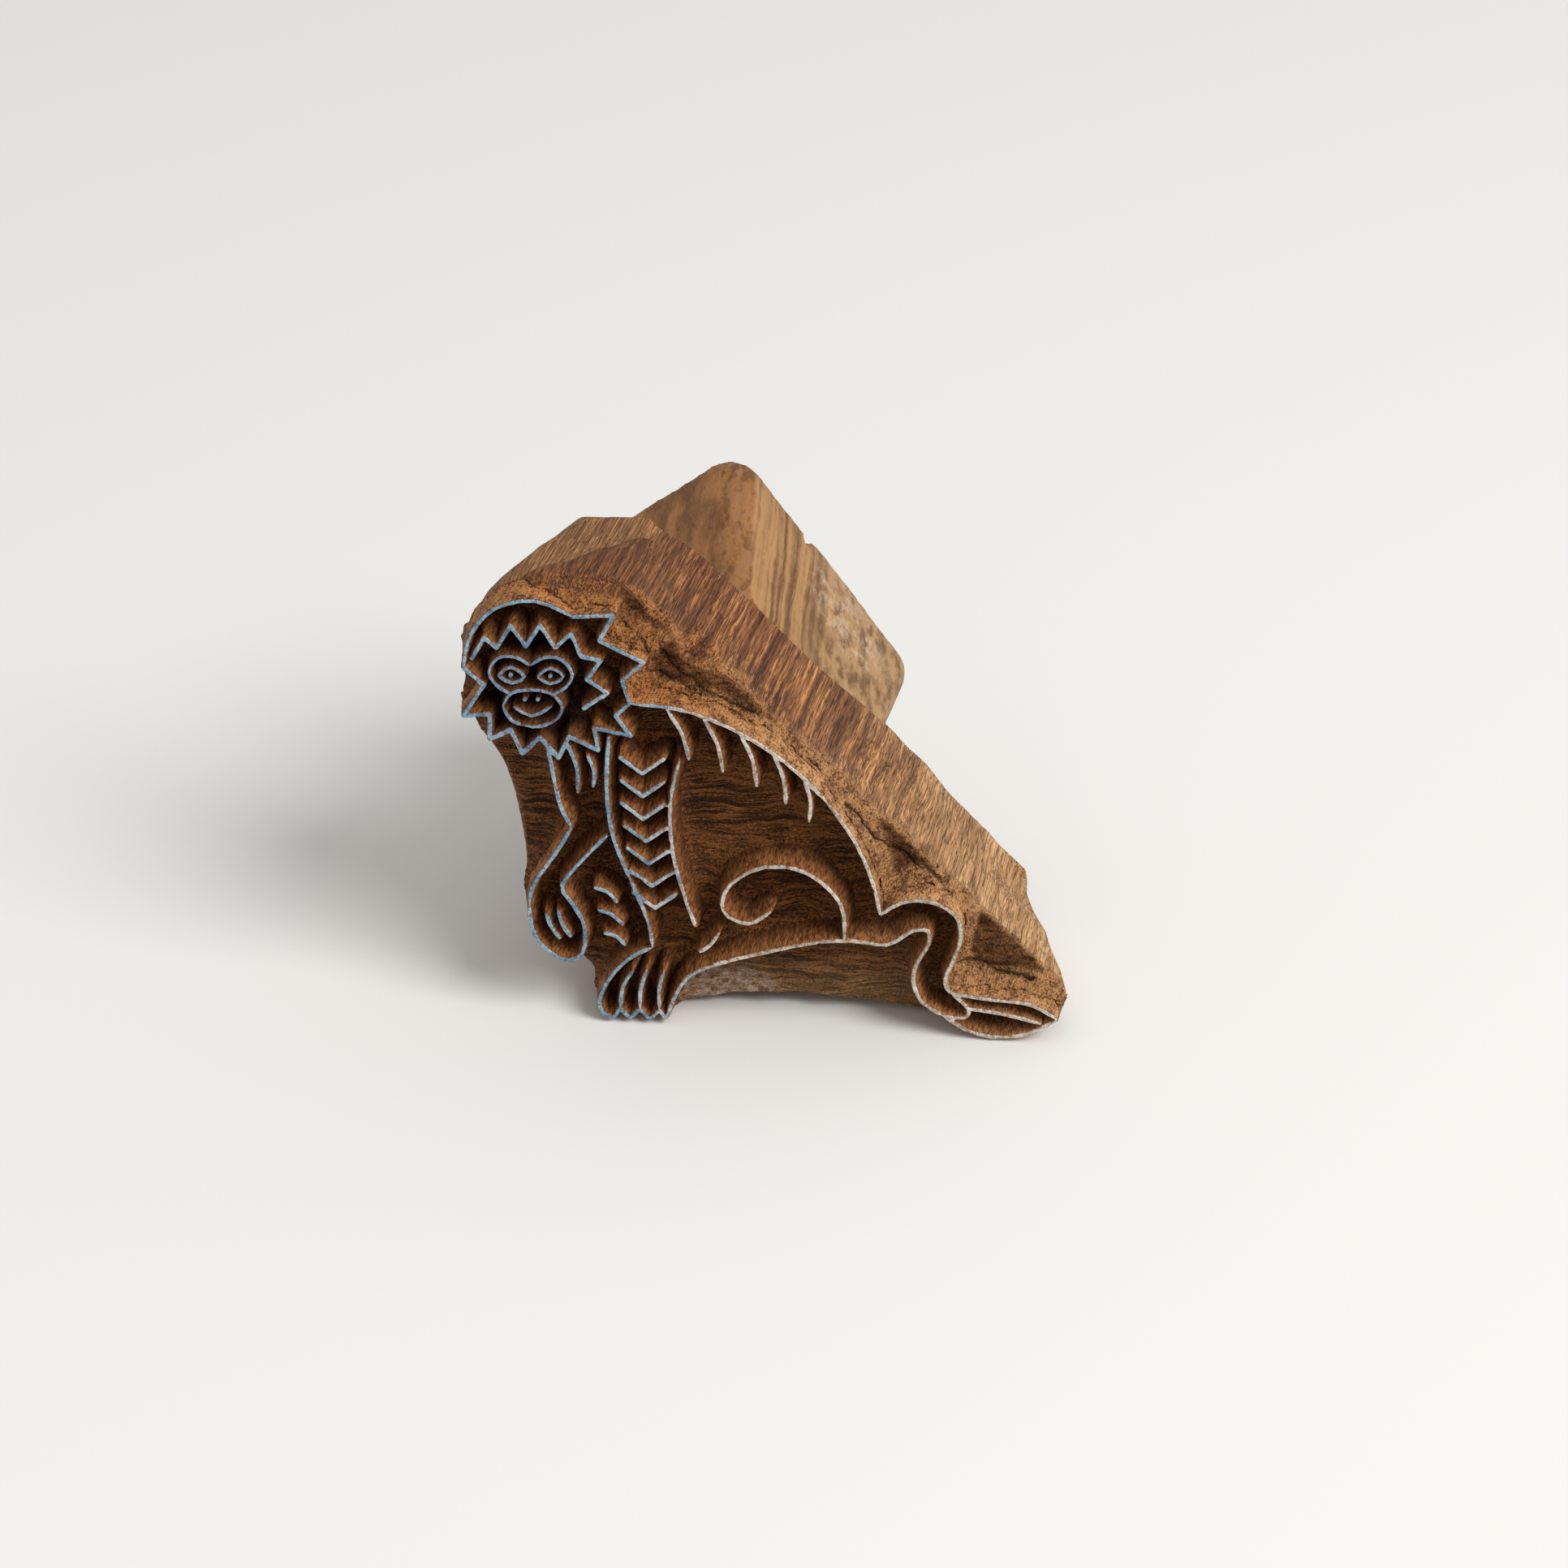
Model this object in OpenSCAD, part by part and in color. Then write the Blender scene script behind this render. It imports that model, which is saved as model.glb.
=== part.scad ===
// Hand block for printing cloth: a carved wooden block with a seated monkey in raised lines,
// and a flared wooden grip set on its back with two hidden pegs.
// It stands on its lower edge as photographed: the printing lines face -Y, the grip points to +Y.
// Sizes are in millimetres, Z is up, and the table is at z = 0.

/* [Block] */
// Depth of the block from the tops of the printing lines to its back
block_depth = 30; // [24:1:40]
// Depth of the cut-away ground below the tops of the printing lines
relief_depth = 6; // [4:0.5:9]
// Depth at which the upper left corner behind the head starts to slope away
head_slope_from = 10; // [4:1:20]
// Slope of the upper left corner behind the head, in degrees
head_slope = 17; // [0:1:25]
// Slope of the flat top towards the back, in degrees
top_slope = 7.5; // [0:0.5:12]
// Slope of the long sawn side towards the back, in degrees
side_slope = 3; // [0:0.5:5]
// Slope of the tail end towards the back, in degrees
tail_slope = 15; // [0:1:20]

/* [Printing lines] */
// Width of the printing lines of the body, the mane and the tail
line_w = 0.8; // [0.7:0.05:1.1]
// Width of the finer printing lines of the face
face_line_w = 0.6; // [0.5:0.05:0.8]
// Width of a line's end as a share of the line's width
line_end_share = 0.6; // [0.4:0.05:1]
// Diameter of the pupils and the nostrils
pupil_d = 0.8; // [0.6:0.1:1]
// Depth of the bevelled rim below the tops of the lines it backs
rim_drop = 0.5; // [0.2:0.1:1.5]
// Most width of the bevelled rim outside the upper lines
rim_w = 3.5; // [2:0.25:5]

/* [Grip] */
// Depth of the grip behind the block
grip_depth = 30; // [22:1:40]
// Long side of the grip at its free end
grip_long = 44.5; // [38:0.5:50]
// Short side of the grip at its free end
grip_short = 28; // [24:1:32]
// Narrowing of the grip's upper end towards the block
grip_flare_up = 6.5; // [0:0.5:8]
// Narrowing of the grip's lower end towards the block
grip_flare_low = 3.5; // [0:0.5:8]
// Narrowing of each long face of the grip towards the block
grip_flare_side = 1; // [0:0.25:2]
// Turn of the grip's long side below the level, in degrees
grip_turn = 53.5; // [45:0.5:60]
// Radius of the grip's four long corners
grip_corner_r = 4; // [2:0.5:7]
// Sideways place of the middle of the grip's free end
grip_x = -7.5; // [-9.5:0.1:-5.5]
// Height of the middle of the grip's free end
grip_z = 35.4; // [33:0.1:37]

/* [Pegs] */
// Diameter of each hidden peg
peg_d = 8; // [6:0.5:10]
// Length of each peg
peg_length = 28; // [20:1:34]
// Part of the bore pair's length that lies in the block
peg_share = 0.45; // [0.35:0.05:0.6]
// Distance between the two pegs along the grip's long side
peg_spacing = 18; // [14:1:20]
// Bevel at both ends of a peg
peg_bevel = 0.8; // [0.4:0.1:1.2]
// Room for glue between a peg and its bore, across the diameter
peg_fit = 0.2; // [0.1:0.05:0.4]
// Room for glue at each end of a peg
peg_end_room = 0.5; // [0.2:0.1:1]

/* [Hidden] */
$fn = 96;

wood_red = [0.50, 0.29, 0.16];
wood_grey = [0.60, 0.43, 0.27];
wood_pale = [0.76, 0.60, 0.40];

print_y = -(block_depth + grip_depth) / 2;
ground_y = print_y + relief_depth;
back_y = print_y + block_depth;
end_y = back_y + grip_depth;
root_depth = 1;
cut_size = 200;
curve_steps = 3;
round_fn = 12;
crevice = 0.12;
rim_reach = 0.85;
point_share = 0.4;
grip_fn = 32;
skin = 0.01;

neck_shift = (grip_flare_up - grip_flare_low) / 2;
neck_long = grip_long - grip_flare_up - grip_flare_low;
neck_short = grip_short - 2 * grip_flare_side;
bore_length = peg_length + 2 * peg_end_room;
bore_from = back_y - bore_length * peg_share;

// Outline of the block, seen from the printing side with Z up
head_round = [[-42.5, 48], [-42, 56], [-40, 62.5], [-35.5, 67.3], [-30, 68.5]];
long_side = [[-20.5, 68], [-10, 58], [15, 34], [40.5, 9]];
tail_tip = [[42.5, 5], [42.5, 2.5], [40, 0.8], [36, 0], [28, 0]];
belly_arch = [[24, 0.6], [16, 1.8], [6, 2.4], [-4, 1.9], [-12, 0.4]];
foot_and_hand = [[-13, 0], [-23.5, 0], [-25, 2], [-25.2, 5.5], [-28, 8.5], [-32.5, 11], [-34.3, 15]];
arm_hollow = [[-34.5, 20], [-34.5, 27], [-35.3, 33], [-37.2, 38.5], [-40, 43]];

// Corners at which the block's sides start to slope towards the back
head_corner = [-38.3, 65];
top_corner = [-25, 68.3];
side_corner = [2, 46.5];
tail_corner = [42.5, 4];

// Directions in which those sides face, in degrees up from +X
head_faces = 134;
top_faces = 90;
side_faces = 45;
tail_faces = 0;

// The bevelled rim over the head, down the back and along the tail: points on the printing lines,
// and the points of the block's outline that they slope towards
rim_crown = [[[-41.2, 56.5], [-40, 61.7], [-36.5, 65.8], [-31, 67.2], [-26, 65]],
    [[-42.3, 56], [-40.8, 62.3], [-37, 66.6], [-31, 68.5], [-25, 68.4]]];
rim_mane = [[[-20.5, 65.5], [-22.5, 61.5], [-16.5, 58.5], [-19.5, 55.5], [-18.5, 52]],
    [[-20.5, 68], [-18, 65.6], [-12, 59.9], [-10, 58], [-7, 55.1]]];
rim_back = [[[-12, 51.5], [-5, 49], [2, 44.5], [8, 38.5], [12.5, 31.5], [15, 25], [16, 20]],
    [[-5, 53.2], [0, 48.4], [5, 43.6], [10, 38.8], [15, 34], [18, 31.1], [20, 29.1]]];
rim_tail = [[[19, 22.2], [23, 22.6], [26.5, 20.5], [27.3, 17], [26.3, 13], [25.3, 10], [26, 7.9], [28.5, 7.3],
        [33, 6.8], [37.5, 6.3], [41.3, 4]],
    [[22, 27.1], [25, 24.2], [28, 21.3], [30, 19.3], [32, 17.3], [34, 15.4], [36, 13.4], [38, 11.4],
        [39.5, 10], [40.8, 8.7], [42.5, 5]]];

// Hair of the mane: straight points round the head and a row of points over the brow
mane_right = [[-26, 65], [-20.5, 65.5], [-22.5, 61.5], [-16.5, 58.5], [-19.5, 55.5], [-18.5, 52]];
mane_left = [[-41.2, 56.5], [-38.5, 54], [-41.5, 49], [-37.8, 49.5], [-38, 45.5], [-35, 47.2],
    [-33.5, 43.5], [-31, 46.2], [-28.5, 43], [-27, 46.5], [-23, 44.5], [-23.5, 48], [-18.5, 47], [-20.5, 50],
    [-18.5, 52]];
fringe = [[-40, 58], [-38.2, 61.3], [-36.5, 59.8], [-34.5, 63.3], [-32.5, 60.2], [-30.5, 63.6], [-28.5, 60.2],
    [-26.3, 62.4], [-25, 59], [-22.3, 58.5], [-24.3, 55.5], [-21.5, 53.5], [-24.8, 51]];

// Curved lines of the body, head to tail
body_curves = [
    [[-41.2, 56.5], [-40, 61.7], [-36.5, 65.8], [-31, 67.2], [-26, 65]],
    [[-18.5, 52], [-12, 51.5], [-5, 49], [2, 44.5], [8, 38.5], [12.5, 31.5], [15, 25], [16, 20]],
    [[-30, 44.8], [-29.3, 40], [-28.5, 35.5], [-27, 32]],
    [[-27, 32], [-29.5, 27.5], [-32.8, 22], [-33.3, 17], [-32, 12.8], [-28.5, 10.2], [-26, 11.5], [-25.6, 16],
        [-27.2, 19.5], [-28.6, 22.5], [-25.5, 27], [-22, 31]],
    [[-31, 18], [-30.3, 15.5], [-29, 13.5]],
    [[-29.3, 18.5], [-28.7, 16], [-27.5, 14]],
    [[-21.5, 46.8], [-22, 39], [-21.3, 31], [-18.8, 23.5], [-16.7, 17.5], [-16, 13]],
    [[-11.8, 43.5], [-13.2, 37], [-13, 29], [-11.5, 22], [-9.8, 16.5]],
    [[-16, 13], [-19.5, 10.8], [-22.5, 7], [-23.8, 3.5], [-23.2, 1.5], [-21.8, 1], [-20.8, 2.6]],
    [[-20.8, 2.6], [-19.4, 1], [-18, 2.6]],
    [[-18, 2.6], [-16.6, 1], [-15.2, 2.6]],
    [[-15.2, 2.6], [-14.2, 1.2], [-13.3, 4], [-11, 8.3], [-6, 11], [0, 13], [6, 14.8], [12, 15.6],
        [17, 15.2], [20.5, 17.6], [22.7, 17.8], [22.8, 15.5], [21.3, 12.5], [20.8, 9.5], [22, 6], [25, 3.9]],
    [[-20.8, 2.6], [-20.4, 6], [-18.8, 9]],
    [[-18, 2.6], [-17.8, 6], [-16.8, 9.4]],
    [[-15.2, 2.6], [-15.2, 6], [-14.4, 9.4]],
    [[11, 15.6], [10.5, 21.5], [6, 26.2], [0, 27], [-5, 23.8], [-6, 19.5], [-2.5, 17.6], [0.8, 19.8]],
    [[-6.5, 16], [-7.8, 13.8], [-9.5, 12.5]],
    [[16, 20], [19, 22.2], [23, 22.6], [26.5, 20.5], [27.3, 17], [26.3, 13], [25.3, 10], [26, 7.9], [28.5, 7.3],
        [33, 6.8], [37.5, 6.3], [41.3, 4]],
    [[25, 3.9], [28, 3.6], [28.6, 5.2], [26, 7.9]],
    [[28.6, 5.2], [34, 4.5], [39, 3.2]],
    [[25, 3.9], [28.5, 1.6], [32.5, 0.6], [37, 1.4], [41.3, 4]]
];

// Loose strokes of fur: the start and the end of each
chest_strokes = [[[-27.3, 45.5], [-26, 37.5]], [[-24.6, 43.8], [-23.9, 38.5]]];
wrist_strokes = [[[-24.2, 22.5], [-20.8, 20]], [[-23.8, 18.8], [-20, 16.3]], [[-23, 15], [-19.8, 13]]];
back_strokes = [[[-13.5, 51.4], [-10.5, 43.5]], [[-8.5, 50.3], [-5.8, 41.8]], [[-3.6, 48.3], [-1.2, 39.8]],
    [[1, 45.2], [2.8, 37.2]], [[5.2, 41.5], [6, 34.5]]];
stroke_bow = 0.6;

// Rows of pointed ribs down the near arm
rib_count = 7;
rib_top = 43.5;
rib_step = 3.6;
rib_drop = 2.4;
arm_middle = -17;
arm_lean = 0.1;
rib_half = 3;

// Face: two lobes of the brow, a round muzzle, almond eyes and a wide mouth
face_curves = [
    [[-34.9, 52.8], [-36.7, 54], [-37.7, 56], [-36.4, 58.2], [-34, 58.5], [-32, 57.3]],
    [[-29.1, 52.9], [-27.2, 54.2], [-26.3, 56.2], [-27.7, 58.4], [-30, 58.6], [-32, 57.3]],
    [[-36, 50.8], [-34.7, 52.9], [-32, 53.5], [-29.2, 53], [-27.8, 50.9], [-29.1, 48.7], [-32, 47.8],
        [-34.8, 48.6], [-36, 50.8]],
    [[-36.5, 55.6], [-34.7, 56.9], [-32.9, 55.5], [-34.7, 54.5], [-36.5, 55.6]],
    [[-31.1, 55.6], [-29.3, 57], [-27.5, 55.8], [-29.3, 54.6], [-31.1, 55.6]],
    [[-34.6, 50.9], [-32, 49.5], [-29.2, 51.1]]
];
eye_centres = [[-34.7, 55.7], [-29.3, 55.8]];
nostril_centres = [[-32.9, 52], [-31.1, 52.1]];

// Point at a share of the way through one span of a curve that passes through all its points
function in_span(p, i, t) =
    let (a = p[max(i - 1, 0)], b = p[i], c = p[i + 1], d = p[min(i + 2, len(p) - 1)])
    0.5 * (2 * b + (c - a) * t + (2 * a - 5 * b + 4 * c - d) * t * t + (3 * b - a - 3 * c + d) * t * t * t);

function through(p) = concat(
    [for (i = [0 : len(p) - 2]) for (k = [0 : curve_steps - 1]) in_span(p, i, k / curve_steps)],
    [p[len(p) - 1]]);

// Unit vector to the left of a path at one of its points
function leftward(p, i) =
    let (d = p[min(i + 1, len(p) - 1)] - p[max(i - 1, 0)])
    [-d[1], d[0]] / norm(d);

function beside(p, far) =
    [for (i = [0 : len(p) - 1])
        p[i] + far * (i == 0 || i == len(p) - 1 ? line_end_share : 1) * leftward(p, i)];

function backwards(p) = [for (i = [len(p) - 1 : -1 : 0]) p[i]];

function bowed(s) =
    [s[0], (s[0] + s[1]) / 2 + stroke_bow * leftward(s, 0), s[1]];

rim_line = concat(rim_crown[0], rim_mane[0], rim_back[0], rim_tail[0]);
rim_edge = concat(rim_crown[1], rim_mane[1], rim_back[1], rim_tail[1]);

// Outer foot of the rim: towards the block's edge, but no farther than the rim is wide
rim_foot = [for (i = [0 : len(rim_line) - 1])
    let (way = rim_edge[i] - rim_line[i])
    rim_line[i] + way * min(rim_reach, rim_w / norm(way))];

function at_depth(p, y) = [for (q = p) [q[0], y, q[1]]];

block_outline = concat(
    through(head_round), long_side, tail_tip, through(belly_arch), foot_and_hand, through(arm_hollow));

module upright(front_y, depth) {
    translate([0, front_y + depth, 0])
        rotate([90, 0, 0])
            linear_extrude(height = depth)
                children();
}

// All that lies beyond a side that faces one way and slopes in towards the back
module beyond(corner, from_depth, faces, slope) {
    translate([corner[0], print_y + from_depth, corner[1]])
        rotate([0, -faces, 0])
            rotate([0, 0, slope])
                translate([0, -cut_size / 2, -cut_size / 2])
                    cube(cut_size);
}

module ribbon(path, wide) {
    polygon(concat(beside(path, wide / 2), backwards(beside(path, -wide / 2))));
}

module curved(path, wide) {
    ribbon(through(path), wide);
}

// Straight strokes that meet in points: each runs on past its ends by a little under half its width
module kinked(path, wide) {
    for (i = [0 : len(path) - 2]) {
        run_on = wide * point_share * (path[i + 1] - path[i]) / norm(path[i + 1] - path[i]);
        ribbon([path[i] - run_on, path[i], path[i + 1], path[i + 1] + run_on], wide);
    }
}

module arm_ribs(wide) {
    for (i = [0 : rib_count - 1]) {
        high = rib_top - i * rib_step;
        mid = arm_middle + arm_lean * max(0, i - 2) * rib_step;
        kinked([[mid - rib_half, high], [mid, high - rib_drop], [mid + rib_half, high]], wide);
    }
}

module body_lines(wide) {
    for (path = body_curves)
        curved(path, wide);
    for (path = [mane_right, mane_left, fringe])
        kinked(path, wide);
    for (stroke = concat(chest_strokes, wrist_strokes, back_strokes))
        curved(bowed(stroke), wide);
    arm_ribs(wide);
}

module face_lines(wide) {
    for (path = face_curves)
        curved(path, wide);
    for (c = concat(eye_centres, nostril_centres))
        translate(c)
            circle(d = pupil_d, $fn = round_fn);
}

module printing_lines() {
    offset(delta = -crevice)
        offset(delta = crevice) {
            body_lines(line_w);
            face_lines(face_line_w);
        }
}

module bevelled_rim() {
    n = len(rim_line);
    rails = concat(
        at_depth(rim_line, print_y + rim_drop), at_depth(rim_foot, ground_y),
        at_depth(rim_foot, ground_y + root_depth), at_depth(rim_line, ground_y + root_depth));
    walls = [for (r = [0 : 3]) for (i = [0 : n - 2])
        let (a = r * n + i, b = ((r + 1) % 4) * n + i)
        each [[a, b + 1, a + 1], [a, b, b + 1]]];
    ends = [[0, 3 * n, 2 * n], [0, 2 * n, n], [n - 1, 2 * n - 1, 3 * n - 1], [n - 1, 3 * n - 1, 4 * n - 1]];
    polyhedron(points = rails, faces = concat(walls, ends));
}

// Places something at each end of the grip's turned middle line, with +Z along +Y of the block
module on_grip(at_y, shift) {
    translate([grip_x, at_y, grip_z])
        rotate([0, grip_turn, 0])
            translate([shift, 0, 0])
                rotate([-90, 0, 0])
                    children();
}

module rounded_plate(long, short, thick) {
    linear_extrude(height = thick)
        for (x = [-1, 1])
            for (y = [-1, 1])
                translate([x * (long / 2 - grip_corner_r), y * (short / 2 - grip_corner_r)])
                    circle(r = grip_corner_r, $fn = grip_fn);
}

module peg_bore(side) {
    on_grip(bore_from, neck_shift + side * peg_spacing / 2)
        cylinder(h = bore_length, d = peg_d + peg_fit);
}

module peg(side) {
    color(wood_pale)
        on_grip(bore_from + peg_end_room, neck_shift + side * peg_spacing / 2) {
            cylinder(h = peg_bevel, d1 = peg_d - 2 * peg_bevel, d2 = peg_d);
            translate([0, 0, peg_bevel])
                cylinder(h = peg_length - 2 * peg_bevel, d = peg_d);
            translate([0, 0, peg_length - peg_bevel])
                cylinder(h = peg_bevel, d1 = peg_d, d2 = peg_d - 2 * peg_bevel);
        }
}

module printing_block() {
    color(wood_red) {
        difference() {
            upright(ground_y, block_depth - relief_depth)
                polygon(block_outline);
            beyond(head_corner, head_slope_from, head_faces, head_slope);
            beyond(top_corner, head_slope_from, top_faces, top_slope);
            beyond(side_corner, relief_depth, side_faces, side_slope);
            beyond(tail_corner, relief_depth, tail_faces, tail_slope);
            peg_bore(-1);
            peg_bore(1);
        }
        bevelled_rim();
        upright(print_y, relief_depth + root_depth)
            printing_lines();
    }
}

module grip() {
    color(wood_grey)
        difference() {
            hull() {
                on_grip(back_y, neck_shift)
                    rounded_plate(neck_long, neck_short, skin);
                on_grip(end_y - skin, 0)
                    rounded_plate(grip_long, grip_short, skin);
            }
            peg_bore(-1);
            peg_bore(1);
        }
}

module upper_peg() {
    peg(-1);
}

module lower_peg() {
    peg(1);
}

printing_block();
grip();
upper_peg();
lower_peg();
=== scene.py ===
"""Looks of a hand-carved wooden textile printing block with a pegged grip."""

import itertools
import math

import bmesh
import bpy
import numpy as np
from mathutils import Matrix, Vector
from mathutils.bvhtree import BVHTree
from mathutils.kdtree import KDTree


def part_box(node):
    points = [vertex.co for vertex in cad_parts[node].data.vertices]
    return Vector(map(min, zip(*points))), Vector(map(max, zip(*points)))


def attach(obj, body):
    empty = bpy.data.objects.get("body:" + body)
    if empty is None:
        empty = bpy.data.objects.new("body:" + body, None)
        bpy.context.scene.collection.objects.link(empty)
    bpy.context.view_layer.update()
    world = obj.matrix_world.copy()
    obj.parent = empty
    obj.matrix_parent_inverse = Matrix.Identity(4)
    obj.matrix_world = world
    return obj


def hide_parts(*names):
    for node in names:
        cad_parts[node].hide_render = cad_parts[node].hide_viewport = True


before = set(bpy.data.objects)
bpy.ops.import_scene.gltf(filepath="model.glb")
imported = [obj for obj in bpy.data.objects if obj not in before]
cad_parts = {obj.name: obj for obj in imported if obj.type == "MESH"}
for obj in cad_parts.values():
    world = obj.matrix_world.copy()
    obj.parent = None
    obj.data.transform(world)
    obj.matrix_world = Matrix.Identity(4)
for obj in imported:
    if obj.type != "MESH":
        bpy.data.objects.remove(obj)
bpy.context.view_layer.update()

bl_info = {
    "name": "Printing block",
    "version": (1, 0, 0),
    "blender": (4, 5, 0),
    "location": "View3D > Sidebar > Printing block",
    "description": "Carves, dyes and lights a wooden textile printing block",
    "category": "Object",
}

MM = 0.001

# Takes the depth out of a place, so that only what the front shows is left.
FLAT = np.array([1, 0, 1])

# Knife cuts along the rim, as x and z in millimetres.
KNIFE_CUTS = (
    (
        (-19.5, 62.3), (-16.7, 60.0), (-14.5, 56.8), (-12.6, 54.4),
        (-8.6, 51.9), (-5.3, 50.3), (-1.5, 48.6),
    ),
    ((-16.0, 54.4), (-14.1, 53.4), (-11.8, 52.6), (-9.4, 51.9)),
    ((5.6, 42.2), (8.4, 39.3)),
    ((11.2, 36.0), (13.1, 33.7), (15.1, 30.3), (17.2, 27.6), (20.6, 25.2), (25.2, 23.2)),
    ((27.2, 10.6), (32.2, 8.8), (37.3, 8.0)),
)

# Swellings and hollows of the block's sides, in millimetres:
# x, z, reach, height and the y from which each shows.
SIDE_SWELLS = (
    (19.0, 29.0, 9.0, 1.2, -12.0),
    (37.5, 12.0, 5.0, -1.5, -12.0),
    (41.5, 5.0, 4.0, -0.8, -18.0),
    (-39.0, 62.0, 6.0, -0.7, -21.0),
    (-35.0, 31.0, 7.0, 0.6, -40.0),
)

# Stretches along x, in millimetres, over which the carving of the long side changes.
BEHIND_HEAD = (-24, -12)
TORN_START = (-23, -15)
FLARE_START = (-18, -13)
FLARE_END = (13, 18)
SIDE_CUT_END = (4, 12)
TAIL_START = (21, 29)
LONG_SIDE = (-24, 18)

# Stretches along x, in millimetres, over which the colours change.
CALM_STREAKS = (-17.0, -7.0)
PALER_TAIL = (-3.0, 40.0)
PALER_RIM = (-16.0, 6.0)
BLUE_TO_WHITE = (-21.0, -6.0)
BELLY_START = (-18.0, -12.0)
GRIP_STAIN = (1.0, 7.0)

# The slanting ridge on the crown: x and y of its start, its slope, and the stretch
# along x at whose end it is far behind the block.
RIDGE_START = (-19.6, -9.5)
RIDGE_SLOPE = 1.05
RIDGE_END = (-18.5, -14.0)
FAR_BEHIND = 40

# Behind the ground, in metres: where the body is cut off and where the rim's own solid ends.
BODY_CUT = 0.5 * MM
RIM_FOOT = 0.6 * MM

# In millimetres: where edges are worn, as depth behind the ground and as distance from a line.
WORN_DEPTH = (1.5, 4.5)
WORN_BESIDE = (0.6, 1.8)

# In millimetres: the depth over which the long side leans out, and the brim at its front,
# as its middle behind the ground and its half width.
FLARE_DEPTH = 15
BRIM_MIDDLE, BRIM_HALF = 0.8, 0.4

# In millimetres: the rim begins this far above the ground, and the ground ends this far behind it.
RIM_FADE = (0.05, 0.4)
GROUND_FADE = (0.4, 0.1)

# Rays that ask what lies beside a place: how far above the ground, beside a line's edge or
# in front of everything they start, in millimetres, and the way up and to the right.
RAY_ABOVE_GROUND = 2.5
RAY_BESIDE_EDGE = 0.55
FRONT_Y = -40
UP_AND_RIGHT = Vector((0.6, 0, 0.8))

# In millimetres: the step between marks along a knife cut, and along the lines for measuring.
MARK_STEP = 0.15
MEASURE_STEP = 1.2

# The walls of the printing lines, from just below their tops to near the ground, as y in millimetres.
LINE_WALL = (-29.4, -25.0)

# Height of the ground at the foot of a line and how far that foot spreads, in millimetres.
FOOT_HEIGHT = 1.9
FOOT_SPREAD = 0.8

# Rings of a printing line, as shares of the relief's depth, and for those at its top
# how far each is thinned, how deep it is chipped in millimetres and how much dye it holds.
RING_SHARES = (0, 0.012, 0.07, 0.2, 0.4, 0.62, 0.85, 1.1)
TOP_THINNING = (1.0, 0.75, 0.3)
TOP_CHIPS = (0.15, 0.13, 0.07)
TOP_DYE = (1.0, 0.7, 0.1)

# Spots as a middle and a reach, in millimetres: the figure's face along x and z,
# the chalk under the belly along x and z, and the worn part of the grip along x and y.
FACE_MIDDLE, FACE_REACH = (-31.8, 52.0), (7.0, 8.5)
CHALK_MIDDLE, CHALK_REACH = (-6.5, 3.6), (8.0, 3.4)
WORN_MIDDLE, WORN_REACH = (7.5, 21.0), (6.0, 8.0)

# The nick in the far edge of the grip: x, z and reach in millimetres.
NICK_X, NICK_Z, NICK_REACH = 0.7, 48.1, 0.85

# How far the block's fibres lean aside and up for each unit of depth.
FIBRE_LEAN = (0.10, 0.08)

# How torn fibres are turned, in degrees, and scaled, at least and at most.
FIBRE_TURNS = (62, -25, -35), (108, 25, 35)
FIBRE_GROWTH = (0.45, 1.35)

# Large factors that scatter whole numbers.
SCATTER_CELLS = (374761393, 668265263, 1440662683)
SCATTER_SEED = 974634777
SCATTER_AGAIN = 1274126177


def metres(name, description, default):
    """A length in metres that a user may change."""
    return bpy.props.FloatProperty(name=name, description=description, default=default, unit="LENGTH")


def place_in_metres(name, description, default):
    """A place that a user may change."""
    kinds = {"subtype": "TRANSLATION", "unit": "LENGTH", "size": 3}
    return bpy.props.FloatVectorProperty(name=name, description=description, default=default, **kinds)


def whole_number(name, description, default):
    """A whole number that a user may change."""
    return bpy.props.IntProperty(name=name, description=description, default=default)


class BlockShape(bpy.types.PropertyGroup):
    """Sizes of the carving on the block."""

    relief_depth: metres("Relief depth", "From the printing plane down to the cut ground", 0.006)
    body_cell: metres("Body cell", "Size of the mesh cells on the block's body", 0.00041)
    line_step: metres("Line step", "Longest step along the edge of a printing line", 0.00032)
    line_foot: metres("Line foot", "How far a line's walls spread at the ground", 0.0009)
    gouge_depth: metres("Gouge depth", "Depth of the scoops that the gouge left on the ground", 0.0004)
    facet_depth: metres("Facet depth", "Depth of the flat cuts on the block's sides", 0.00025)
    rim_roughness: metres("Rim roughness", "Height of the torn grain on the bevelled rim", 0.0003)
    crease_depth: metres("Crease depth", "Depth of the knife cuts on the rim", 0.0006)
    rim_width: metres("Rim width", "From the outer lines to the foot of the rim behind the head", 0.0032)
    side_cut: metres("Side cut", "How far the long side is cut down towards the rim at most", 0.0045)
    side_lean: bpy.props.FloatProperty(
        name="Side lean",
        description="Width of the cut on the long side for each unit of depth",
        default=0.45,
    )
    back_flare: metres("Back flare", "How far the long side leans out at the block's back", 0.0015)
    ledge_depth: metres("Ledge depth", "Step between the two cuts behind the head", 0.0002)
    soft_rounds: whole_number("Soft rounds", "How often the worn edges of the sides are smoothed", 10)
    seed: whole_number("Seed", "Start of the uneven marks on the block", 11)


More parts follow.
